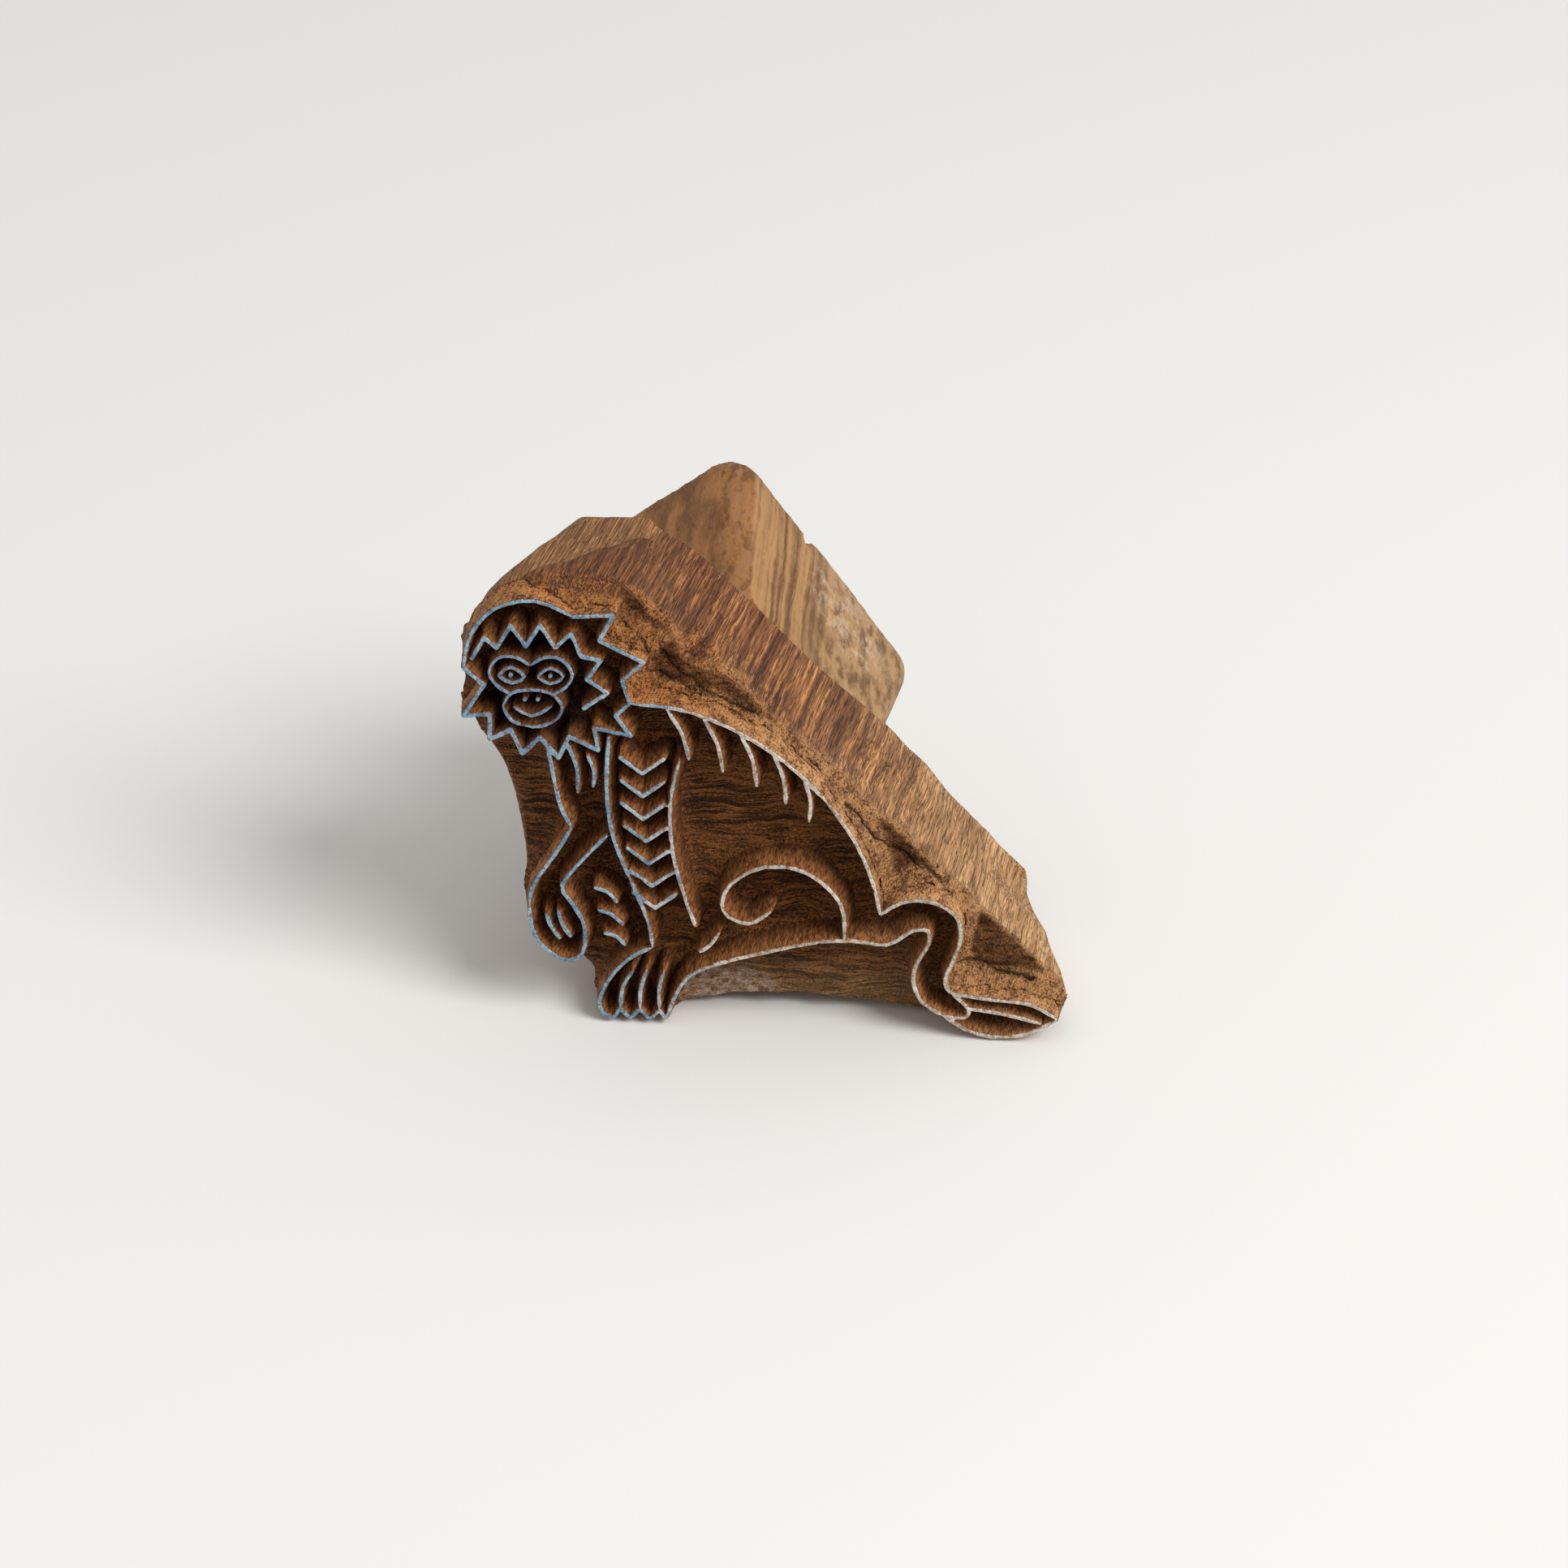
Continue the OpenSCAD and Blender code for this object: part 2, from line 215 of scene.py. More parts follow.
class GripShape(bpy.types.PropertyGroup):
    """Sizes of the marks on the grip."""

    cell: metres("Cell", "Size of the mesh cells on the grip", 0.0005)
    wear: metres("Wear", "Unevenness of the worn faces", 0.00035)
    swell: metres("Swell", "How far the sides bulge towards the free end", 0.0008)
    nick_depth: metres("Nick depth", "Depth of the nick in the far edge", 0.0009)
    soft_rounds: whole_number("Soft rounds", "How often the worn far edges are smoothed", 7)
    seed: whole_number("Seed", "Start of the uneven marks on the grip", 29)


class FibreShape(bpy.types.PropertyGroup):
    """Torn fibres that stand on the rough rim."""

    density: bpy.props.FloatProperty(
        name="Density",
        description="Fibres on each square metre of the rim",
        default=1500000.0,
    )
    length: metres("Length", "Length of a torn fibre", 0.00065)
    width: metres("Width", "Width of a torn fibre at its root", 0.00011)
    seed: whole_number("Seed", "Start of the scatter of fibres", 5)


class StageLook(bpy.types.PropertyGroup):
    """Light, floor and camera."""

    floor_size: metres("Floor size", "Side of the plain floor", 6.0)
    floor_colour: bpy.props.FloatVectorProperty(
        name="Floor colour",
        description="Colour of the plain floor",
        default=(0.80, 0.79, 0.765),
        subtype="COLOR",
        size=3,
    )
    key_watts: bpy.props.FloatProperty(
        name="Key power",
        description="Power of the large soft lamp on the right",
        default=35.0,
        unit="POWER",
    )
    key_size: metres("Key size", "Width of the large soft lamp", 1.1)
    key_place: place_in_metres("Key place", "Where the large soft lamp stands", (1.25, -0.85, 1.35))
    key_aim: metres("Key aim", "Height above the floor that the lamp looks at", 0.03)
    sky_level: bpy.props.FloatProperty(
        name="Sky level",
        description="Level of the even light from all round",
        default=0.58,
    )
    camera_place: place_in_metres("Camera place", "Where the camera stands", (0.04456, -0.50977, 0.31865))
    camera_turn: bpy.props.FloatVectorProperty(
        name="Camera turn",
        description="Tilt and turn of the camera",
        default=(math.radians(60), 0, math.radians(5)),
        subtype="EULER",
        unit="ROTATION",
        size=3,
    )
    camera_lens: bpy.props.FloatProperty(
        name="Lens",
        description="Focal length in millimetres",
        default=93.17,
    )


def linear(red, green, blue):
    """A colour written as screen values from 0 to 255, as linear light."""
    levels = [v / 255 for v in (red, green, blue)]
    return tuple(v / 12.92 if v < 0.04045 else ((v + 0.055) / 1.055) ** 2.4 for v in levels) + (1.0,)


def scatter_values(cells, seed):
    """A fixed value from -1 to 1 for each row of whole-numbered cells."""
    mixed = cells @ np.array(SCATTER_CELLS) + seed * SCATTER_SEED
    mixed = (mixed ^ (mixed >> 13)) * SCATTER_AGAIN
    mixed = mixed ^ (mixed >> 16)
    return (mixed & 0xFFFF) / 32767.5 - 1


def waves(points, sizes, seed, octaves=1):
    """Smooth uneven values from about -1 to 1, with bumps of the given sizes along x, y and z."""
    total = np.zeros(len(points))
    weight = 1.0
    for octave in range(octaves):
        spots = points / np.array(sizes) * 2**octave
        cells = np.floor(spots).astype(np.int64)
        part = spots - cells
        part = part * part * (3 - 2 * part)
        for corner in range(8):
            step = np.array([corner & 1, corner >> 1 & 1, corner >> 2 & 1])
            share = np.prod(np.where(step == 1, part, 1 - part), axis=1)
            total += weight * share * scatter_values(cells + step, seed + octave)
        weight *= 0.5
    return total


def scoops(points, sizes, seed):
    """Bowl-shaped cuts side by side: 0 in the middle of a cut, up to 1 on the ridges between them."""
    spots = points / np.array(sizes)
    cells = np.floor(spots).astype(np.int64)
    closest = np.ones(len(points))
    for step in itertools.product((-1, 0, 1), repeat=3):
        cell = cells + np.array(step)
        astray = np.stack([scatter_values(cell, seed + axis) for axis in range(3)], axis=1)
        middle = cell + 0.5 + 0.38 * astray
        closest = np.minimum(closest, ((spots - middle) ** 2).sum(1))
    return closest


def ramp(values, low, high):
    """A soft step from 0 at low to 1 at high."""
    share = np.clip((values - low) / (high - low), 0, 1)
    return share * share * (3 - 2 * share)


def nearest(points, targets):
    """For each point, the row of the nearest target and how far away it lies."""
    tree = KDTree(len(targets))
    for index, target in enumerate(targets):
        tree.insert(target, index)
    tree.balance()
    found = [tree.find(point) for point in points]
    return np.array([row for _, row, _ in found]), np.array([away for _, _, away in found])


def welded(node):
    """A copy of a CAD node's mesh with its corners joined."""
    bm = bmesh.new()
    bm.from_mesh(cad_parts[node].data)
    bmesh.ops.remove_doubles(bm, verts=bm.verts, dist=1e-6)
    return bm


def lists_of(bm):
    """The corners and faces of a bmesh as plain lists."""
    bm.verts.index_update()
    return [tuple(v.co) for v in bm.verts], [[v.index for v in f.verts] for f in bm.faces]


def search_tree(bm):
    """A tree for casting rays at a bmesh, which isn't needed any more after this."""
    tree = BVHTree.FromBMesh(bm)
    bm.free()
    return tree


def piece(name, corners, faces):
    """A new object from corners and faces."""
    mesh = bpy.data.meshes.new(name)
    mesh.from_pydata(corners, [], faces)
    mesh.update()
    obj = bpy.data.objects.new(name, mesh)
    bpy.context.scene.collection.objects.link(obj)
    return obj


def evened(obj, cell):
    """The same solid with a mesh of even cells."""
    modifier = obj.modifiers.new("even cells", "REMESH")
    modifier.mode = "VOXEL"
    modifier.voxel_size = cell
    settled(obj)


def settled(obj):
    """Turns an object's modifiers into its plain mesh."""
    graph = bpy.context.evaluated_depsgraph_get()
    mesh = bpy.data.meshes.new_from_object(obj.evaluated_get(graph))
    obj.modifiers.clear()
    old = obj.data
    obj.data = mesh
    bpy.data.meshes.remove(old)
    mesh.name = obj.name


def corners_of(mesh):
    """Corner places in millimetres and corner normals."""
    places = np.empty(len(mesh.vertices) * 3, np.float32)
    mesh.vertices.foreach_get("co", places)
    normals = np.empty(len(mesh.vertices) * 3, np.float32)
    mesh.vertex_normals.foreach_get("vector", normals)
    return places.reshape(-1, 3).astype(float) / MM, normals.reshape(-1, 3).astype(float)


def place_corners(mesh, places):
    """Moves a mesh's corners to places in millimetres."""
    mesh.vertices.foreach_set("co", (places * MM).astype(np.float32).ravel())
    mesh.update()


def store(mesh, name, values):
    """Keeps one value on each corner of a mesh."""
    layer = mesh.attributes.new(name, "FLOAT", "POINT")
    layer.data.foreach_set("value", np.asarray(values, np.float32))


def softened(mesh, places, share, rounds):
    """Places drawn towards their neighbours, by a share that differs from corner to corner."""
    pairs = np.empty(len(mesh.edges) * 2, np.int32)
    mesh.edges.foreach_get("vertices", pairs)
    pairs = pairs.reshape(-1, 2)
    count = np.bincount(pairs.ravel(), minlength=len(places))[:, None]
    for _ in range(rounds):
        total = np.zeros_like(places)
        np.add.at(total, pairs[:, 0], places[pairs[:, 1]])
        np.add.at(total, pairs[:, 1], places[pairs[:, 0]])
        places = places + 0.6 * share[:, None] * (total / count - places)
    return places


def closed_prism(corners, faces, far_y):
    """A surface and its straight shadow at far_y, joined into one closed solid."""
    count = len(corners)
    shadow = [(x, far_y, z) for x, _, z in corners]
    once = {}
    for face in faces:
        for a, b in zip(face, face[1:] + face[:1]):
            if (b, a) in once:
                del once[(b, a)]
            else:
                once[(a, b)] = True
    walls = [[b, a, a + count, b + count] for a, b in once]
    caps = [[v + count for v in reversed(face)] for face in faces]
    return corners + shadow, faces + caps + walls


def line_top(step):
    """The flat tops of the printing lines, cut into short steps along their edges."""
    print_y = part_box("printing_block")[0].y
    bm = welded("printing_block")
    other = [f for f in bm.faces if f.normal.y > -0.99 or max(v.co.y for v in f.verts) > print_y + 1e-5]
    bmesh.ops.delete(bm, geom=other, context="FACES")
    by_cuts = {}
    for edge in bm.edges:
        cuts = math.ceil(edge.calc_length() / step) - 1
        if edge.is_boundary and cuts > 0:
            by_cuts.setdefault(cuts, []).append(edge)
    for cuts, edges in by_cuts.items():
        bmesh.ops.subdivide_edges(bm, edges=edges, cuts=cuts)
    bmesh.ops.triangulate(bm, faces=bm.faces)
    return bm


def edge_normals(bm):
    """For each corner of the line tops, the way out of the line across its edge."""
    outward = np.zeros((len(bm.verts), 3))
    for edge in bm.edges:
        if not edge.is_boundary:
            continue
        a, b = edge.verts
        along = b.co - a.co
        across = Vector((along.z, 0, -along.x)).normalized()
        inner = edge.link_faces[0].calc_center_median() - a.co
        if across.dot(inner) > 0:
            across.negate()
        for v in edge.verts:
            outward[v.index] += across
    length = np.linalg.norm(outward, axis=1, keepdims=True)
    return outward / np.maximum(length, 0.9)


def rough_body(ground):
    """The plain body with its rim, still without the printing lines."""
    bm = welded("printing_block")
    slopes = [f for f in bm.faces if -0.98 < f.normal.y < -0.05]
    used = sorted({v.index for f in slopes for v in f.verts})
    place = {index: spot for spot, index in enumerate(used)}
    bm.verts.ensure_lookup_table()
    rim_corners = [tuple(bm.verts[index].co) for index in used]
    rim_faces = [[place[v.index] for v in f.verts] for f in slopes]
    rim_corners, rim_faces = closed_prism(rim_corners, rim_faces, ground + RIM_FOOT)
    cut = bmesh.ops.bisect_plane(
        bm,
        geom=bm.verts[:] + bm.edges[:] + bm.faces[:],
        plane_co=(0, ground + BODY_CUT, 0),
        plane_no=(0, 1, 0),
        clear_inner=True,
    )
    border = [e for e in cut["geom_cut"] if isinstance(e, bmesh.types.BMEdge)]
    bmesh.ops.edgeloop_fill(bm, edges=border)
    for v in {v for e in border for v in e.verts}:
        v.co.y = ground
    corners, faces = lists_of(bm)
    bm.free()
    start = len(corners)
    faces += [[v + start for v in face] for face in rim_faces]
    return piece("block_body", corners + rim_corners, faces)


def line_distance(places):
    """How far each place lies from a printing line, seen from the front."""
    bm = line_top(MEASURE_STEP * MM)
    tops = [v.co / MM for v in bm.verts]
    bm.free()
    return nearest(places * FLAT, [(top.x, 0, top.z) for top in tops])[1]


def sloped_side(places, normals, to_line, shape, ground):
    """Cuts the long side down towards the rim, and lets it lean out towards the back."""
    x, y = places[:, 0], places[:, 1]
    lean = shape.side_lean
    cut = shape.side_cut / MM
    front = np.abs(y - ground - BRIM_MIDDLE) < BRIM_HALF
    brim = np.nonzero(front & (normals[:, 0] + normals[:, 2] > 0.9))[0]
    touched = np.nonzero((y > ground - 1.0) & (x > LONG_SIDE[0]) & (x < LONG_SIDE[1]))[0]
    found, away = nearest(places[touched] * FLAT, places[brim] * FLAT)
    near = away <= cut + 1
    row, touched, away = brim[found[near]], touched[near], away[near]
    out = normals[row] * FLAT
    out = out / np.linalg.norm(out, axis=1, keepdims=True)
    inside = np.sum((places[row] - places[touched]) * out, axis=1)
    reach = np.clip(to_line[row] - shape.rim_width / MM, 0, cut) * (1 - ramp(x[row], *SIDE_CUT_END))
    over = np.maximum(reach - inside - lean * (y[touched] - ground), 0)
    flare = ramp(x[touched], *FLARE_START) * (1 - ramp(x[touched], *FLARE_END))
    flare = shape.back_flare / MM * flare * np.clip(1 + y[touched] / FLARE_DEPTH, 0, 1)
    moved = places.copy()
    moved[touched] += (over / (1 + lean * lean))[:, None] * (np.array([0, lean, 0]) - out)
    moved[touched] += (flare * (1 - away / (cut + 1)))[:, None] * out
    return moved


def carve(mesh, shape, ground):
    """Gouge scoops, knife creases, torn grain, whittled sides and the ledge behind the ridge."""
    places, normals = corners_of(mesh)
    y = places[:, 1]
    seed = shape.seed
    to_line = line_distance(places)
    rim = ramp(-y, -ground + RIM_FADE[0], -ground + RIM_FADE[1])
    level = ramp(-normals[:, 1], 0.6, 0.9) * ramp(-y, -ground - GROUND_FADE[0], -ground - GROUND_FADE[1])
    level = level * (1 - rim)
    outer = outside(places, level, ground)
    floor = level * (1 - outer)
    pocket = level * outer
    side = (1 - ramp(np.abs(normals[:, 1]), 0.5, 0.9)) * (1 - rim)
    rough = torn_share(places, normals, rim, pocket, side, seed, ground)
    beyond = beyond_ridge(places, seed)
    cuts, cut_side = knife_cuts(mesh, places, seed)
    crease = np.maximum(rim, rough) * cuts
    torn = shape.rim_roughness / MM * waves(places, (1.0, 1.6, 1.0), seed + 5, 3)
    torn = torn - pocket * (0.3 + 0.5 * waves(places, (2.2, 9, 1.6), seed + 31, 2))
    lift = floor * gouged(places, to_line, shape) + rough * torn
    lift = lift + side * whittled(places, shape)
    lift = lift - side * shape.ledge_depth / MM * beyond
    lift = lift - shape.crease_depth / MM * crease
    moved = places + normals * lift[:, None]
    moved[:, 1] = np.where(y > -0.2, y, np.minimum(moved[:, 1], 0.0))
    moved[:, 2] = np.maximum(moved[:, 2], 0.0)
    place_corners(mesh, moved)
    store(mesh, "rim", rough)
    store(mesh, "cut_ground", floor)
    store(mesh, "pocket", pocket)
    store(mesh, "line_near", np.exp(-np.maximum(to_line - 0.2, 0) / 1.1))
    store(mesh, "crease", crease)
    store(mesh, "cut_side", cut_side)
    store(mesh, "behind_ridge", side * beyond)


def torn_share(places, normals, rim, pocket, side, seed, ground):
    """1 on torn wood: the pockets, the rim where no smooth cut runs, and the side next to it."""
    x, y = places[:, 0], places[:, 1]
    along_back = ramp(x, *BEHIND_HEAD)
    at_tail = ramp(x, *TAIL_START)
    wander = 0.8 + 1.4 * along_back - 1.4 * at_tail
    edge = y + wander * waves(places, (5, 90, 5), seed + 19, 2)
    edge = edge + 0.5 * waves(places, (1, 3, 1), seed + 21)
    reach = 0.5 + 3.5 * along_back - 3.0 * at_tail
    upper = ramp(normals[:, 0] + normals[:, 2], 0.2, 0.6)
    near = side * upper * ramp(-edge, -ground - reach, -ground - 0.4) * ramp(x, *TORN_START)
    uneven_y = y + 0.8 * waves(places, (2.5, 90, 2.5), seed + 35, 2)
    smooth_cut = (1 - along_back) * ramp(uneven_y, ground - 2.6, ground - 1.4)
    return np.maximum(np.maximum(rim * (1 - smooth_cut), pocket), near)


def beyond_ridge(places, seed):
    """1 behind the slanting ridge on the crown and 0 in front of it."""
    x, y = places[:, 0], places[:, 1]
    ridge_y = RIDGE_SLOPE * (x - RIDGE_START[0]) + RIDGE_START[1] + FAR_BEHIND * ramp(x, *RIDGE_END)
    wavy = 1.5 * waves(places * FLAT, (4, 60, 4), seed + 29, 2)
    return ramp(y - ridge_y + wavy, -0.3, 0.3)


def gouged(places, to_line, shape):
    """Height of the figure's ground, with gouge scoops that rise to the feet of the lines."""
    flat = places * FLAT
    foot = FOOT_HEIGHT * np.exp(-np.maximum(to_line - 0.1, 0) / FOOT_SPREAD)
    gouge = shape.gouge_depth / MM * (2.2 * scoops(flat, (2.6, 9, 1.7), shape.seed) - 0.7)
    gouge = gouge + 0.10 * waves(flat, (0.8, 9, 0.8), shape.seed + 3, 2)
    return foot + gouge


def whittled(places, shape):
    """Height of the sides, with flat knife cuts, fibres, swellings and hollows."""
    x, y, z = places.T
    facet = shape.facet_depth / MM * (1.8 * scoops(places, (9, 13, 9), shape.seed + 7) - 0.6)
    fibre = 0.035 * waves(places, (0.7, 16, 0.7), shape.seed + 11, 2)
    broad = 0.18 * waves(places, (11, 14, 11), shape.seed + 13, 2)
    swell = np.zeros(len(places))
    for at_x, at_z, reach, height, from_y in SIDE_SWELLS:
        near = np.exp(-((x - at_x) ** 2 + (z - at_z) ** 2) / reach**2)
        swell += height * near * ramp(y, from_y - 3, from_y + 5)
    return facet + fibre + broad + swell


def outside(places, level, ground):
    """1 where the cut ground lies outside the figure, above its back and tail."""
    tree = search_tree(welded("printing_block"))
    found = np.zeros(len(places))
    for index in np.nonzero(level > 0)[0]:
        start = Vector((places[index, 0], ground - RAY_ABOVE_GROUND, places[index, 2])) * MM
        if tree.ray_cast(start, UP_AND_RIGHT)[0] is None:
            found[index] = 1
    return found


def knife_cuts(mesh, places, seed):
    """1 in the middle of a knife cut and 0 away from it, and the way across the nearest cut."""
    bm = bmesh.new()
    bm.from_mesh(mesh)
    tree = search_tree(bm)
    marks = []
    across = []
    for cut in KNIFE_CUTS:
        for (x0, z0), (x1, z1) in zip(cut, cut[1:]):
            long = math.hypot(x1 - x0, z1 - z0)
            count = math.ceil(long / MARK_STEP)
            for k in range(count + 1):
                start = Vector((x0 + (x1 - x0) * k / count, FRONT_Y, z0 + (z1 - z0) * k / count)) * MM
                hit = tree.ray_cast(start, Vector((0, 1, 0)))[0]
                if hit is not None:
                    marks.append(tuple(hit / MM))
                    across.append(((z1 - z0) / long, 0, (x0 - x1) / long))
    wobble = [0.2 * waves(places, (2.5, 90, 2.5), seed + start, 2) for start in (23, 25, 27)]
    spots = places + np.stack(wobble, axis=1)
    rows, away = nearest(spots, marks)
    side = np.sum((spots - np.array(marks)[rows]) * np.array(across)[rows], axis=1)
    gate = ramp(waves(places, (6, 90, 6), seed + 17, 2), -0.75, -0.35)
    width = 0.40 + 0.15 * waves(places, (3, 90, 3), seed + 33)
    return gate * np.exp(-((away / width) ** 2)), np.clip(side, -2, 2)


class PRINTBLOCK_OT_carve_body(bpy.types.Operator):
    """Carve the block's body: sides, bevelled rim and cut ground."""

    bl_idname = "printblock.carve_body"
    bl_label = "Carve body"

    def execute(self, context):
        shape = context.scene.block_shape
        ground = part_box("printing_block")[0].y + shape.relief_depth
        obj = rough_body(ground)
        evened(obj, shape.body_cell * (1))
        ground = ground / MM
        places, normals = corners_of(obj.data)
        to_line = line_distance(places)
        places = sloped_side(places, normals, to_line, shape, ground)
        behind = ramp(places[:, 1], ground + WORN_DEPTH[0], ground + WORN_DEPTH[1])
        worn = np.maximum(behind, 0.8 * ramp(to_line, *WORN_BESIDE))
        place_corners(obj.data, softened(obj.data, places, worn, shape.soft_rounds))
        carve(obj.data, shape, ground)
        obj.data.shade_smooth()
        obj.data.materials.append(block_paint())
        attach(obj, "root")
        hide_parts("printing_block")
        return {"FINISHED"}


def beside_rim(tops, outward, shape):
    """1 for each corner of a line's edge with the rim next to it."""
    tree = search_tree(welded("printing_block"))
    deep = shape.relief_depth / MM
    found = np.zeros(len(tops))
    for index, (x, y, z) in enumerate(tops + outward * RAY_BESIDE_EDGE):
        hit = tree.ray_cast(Vector((x, y - 1, z)) * MM, Vector((0, 1, 0)))[0]
        if hit is not None:
            found[index] = 0.05 < hit.y / MM - y < deep - 0.1
    return found


def looking_up(tops, outward):
    """1 for each corner of a line's edge that looks up, with nothing of the block beyond it."""
    tree = search_tree(welded("printing_block"))
    found = ramp(outward[:, 2], 0.1, 0.4)
    for index in np.nonzero(found > 0)[0]:
        start = Vector(tops[index] + outward[index] * 0.3 + np.array([0, 2, 0])) * MM
        if tree.ray_cast(start, Vector(outward[index]))[0] is not None:
            found[index] = 0
    return found


def stacked_rings(tops, faces, outward, border, rim_side, shape):
    """The printing lines, as rings from the flat tops down the walls to below the ground."""
    seed = shape.seed + 40
    depth = shape.relief_depth / MM
    spread = shape.line_foot / MM
    off_x = (tops[:, 0] - FACE_MIDDLE[0]) / FACE_REACH[0]
    off_z = (tops[:, 2] - FACE_MIDDLE[1]) / FACE_REACH[1]
    thin = -0.15 - 0.08 * ramp(off_x**2 + off_z**2, 0.9, 1.4)
    wander = 0.05 * waves(tops, (1.7, 9, 1.7), seed, 2) + 0.04 * waves(tops, (0.7, 9, 0.7), seed + 11)
    chipped = ramp(waves(tops, (1.5, 9, 1.5), seed + 13), 0.45, 0.75)
    dent = 0.05 * np.abs(waves(tops, (2.4, 9, 2.4), seed + 7, 2))
    rings = []
    for index, share in enumerate(RING_SHARES):
        ring = tops + np.array([0, depth * share, 0])
        hewn = share * 0.22 * waves(ring, (1.1, 2.5, 1.1), seed + 3, 2)
        if index < len(TOP_DYE):
            out = thin * TOP_THINNING[index]
            uneven = wander - TOP_CHIPS[index] * chipped
        else:
            out = (1 - rim_side) * (spread * share**1.5 - 0.04) + rim_side * 0.05
            uneven = wander
        ring = ring + outward * (out + uneven + hewn)[:, None]
        if index < 2:
            ring[:, 1] += dent
        ring[:, 2] = np.maximum(ring[:, 2], 0.0)
        rings.append(ring)
    count = len(tops)
    last = (len(rings) - 1) * count
    walls = []
    for level in range(len(rings) - 1):
        near = level * count
        walls += [[b + near, a + near, a + near + count, b + near + count] for a, b in border]
    caps = [[v + last for v in reversed(face)] for face in faces]
    corners = np.concatenate(rings) * MM
    obj = piece("printing_lines", [tuple(c) for c in corners], faces + walls + caps)
    smooth = [False] * len(faces) + [True] * len(walls) + [False] * len(caps)
    obj.data.polygons.foreach_set("use_smooth", smooth)
    dye = TOP_DYE + (0.0,) * (len(rings) - len(TOP_DYE))
    store(obj.data, "top", np.repeat(dye, count))
    store(obj.data, "rim", np.tile(rim_side, len(rings)))
    return obj


class PRINTBLOCK_OT_raise_lines(bpy.types.Operator):
    """Raise the printing lines, with spreading hand-cut walls."""

    bl_idname = "printblock.raise_lines"
    bl_label = "Raise lines"

    def execute(self, context):
        shape = context.scene.block_shape
        bm = line_top(shape.line_step * (1))
        bm.verts.index_update()
        tops = np.array([v.co for v in bm.verts]) / MM
        faces = [[v.index for v in f.verts] for f in bm.faces]
        outward = edge_normals(bm)
        rim_side = np.maximum(beside_rim(tops, outward, shape), looking_up(tops, outward))
        border = []
        for edge in bm.edges:
            if edge.is_boundary:
                loop = edge.link_loops[0]
                border.append((loop.vert.index, loop.link_loop_next.vert.index))
        bm.free()
        obj = stacked_rings(tops, faces, outward, border, rim_side, shape)
        obj.data.materials.append(line_paint())
        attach(obj, "root")
        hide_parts("printing_block")
        return {"FINISHED"}


class PRINTBLOCK_OT_shape_grip(bpy.types.Operator):
    """Shape the worn grip behind the block."""

    bl_idname = "printblock.shape_grip"
    bl_label = "Shape grip"

    def execute(self, context):
        shape = context.scene.grip_shape
        bm = welded("grip")
        obj = piece("worn_grip", *lists_of(bm))
        bm.free()
        evened(obj, shape.cell * (1))
        mesh = obj.data
        places, normals = corners_of(mesh)
        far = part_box("grip")[1].y / MM
        edge = ramp(places[:, 1], far - 3.0, far - 0.8)
        places = softened(mesh, places, edge, shape.soft_rounds)
        side = 1 - ramp(np.abs(normals[:, 1]), 0.6, 0.9)
        lift = side * (shape.wear / MM) * waves(places, (14, 22, 14), shape.seed, 2)
        lift = lift + side * shape.swell / MM * ramp(places[:, 1], 2.0, far - 6.0)
        lift = lift + side * 0.04 * waves(places, (1.1, 40, 1.1), shape.seed + 3, 2)
        lift = lift + edge * 0.07 * waves(places, (3.2, 3.2, 3.2), shape.seed + 5, 2)
        nick = np.array([NICK_X, far, NICK_Z])
        away = np.linalg.norm((places - nick) * np.array([1, 0.35, 1]), axis=1)
        lift = lift - shape.nick_depth / MM * np.exp(-((away / NICK_REACH) ** 4))
        lift = lift * ramp(places[:, 1], 0.2, 1.5)
        place_corners(mesh, places + normals * lift[:, None])
        mesh.shade_smooth()
        mesh.materials.append(grip_paint())
        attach(obj, "root")
        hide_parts("grip")
        return {"FINISHED"}


class PRINTBLOCK_OT_finish_pegs(bpy.types.Operator):
    """Give the two hidden pegs their wood."""

    bl_idname = "printblock.finish_pegs"
    bl_label = "Finish pegs"

    def execute(self, context):
        paint = peg_paint()
        for name in ("upper_peg", "lower_peg"):
            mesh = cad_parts[name].data
            for index in range(len(mesh.materials)):
                mesh.materials[index] = paint
        return {"FINISHED"}


def made_node(tree, kind, settings=None, values=None):
    """Makes a node, its settings first and then its sockets, each linked or set to a value."""
    node = tree.nodes.new(kind)
    for name, setting in (settings or {}).items():
        setattr(node, name, setting)
    for key, value in (values or {}).items():
        if isinstance(value, bpy.types.NodeSocket):
            tree.links.new(value, node.inputs[key])
        else:
            node.inputs[key].default_value = value
    return node


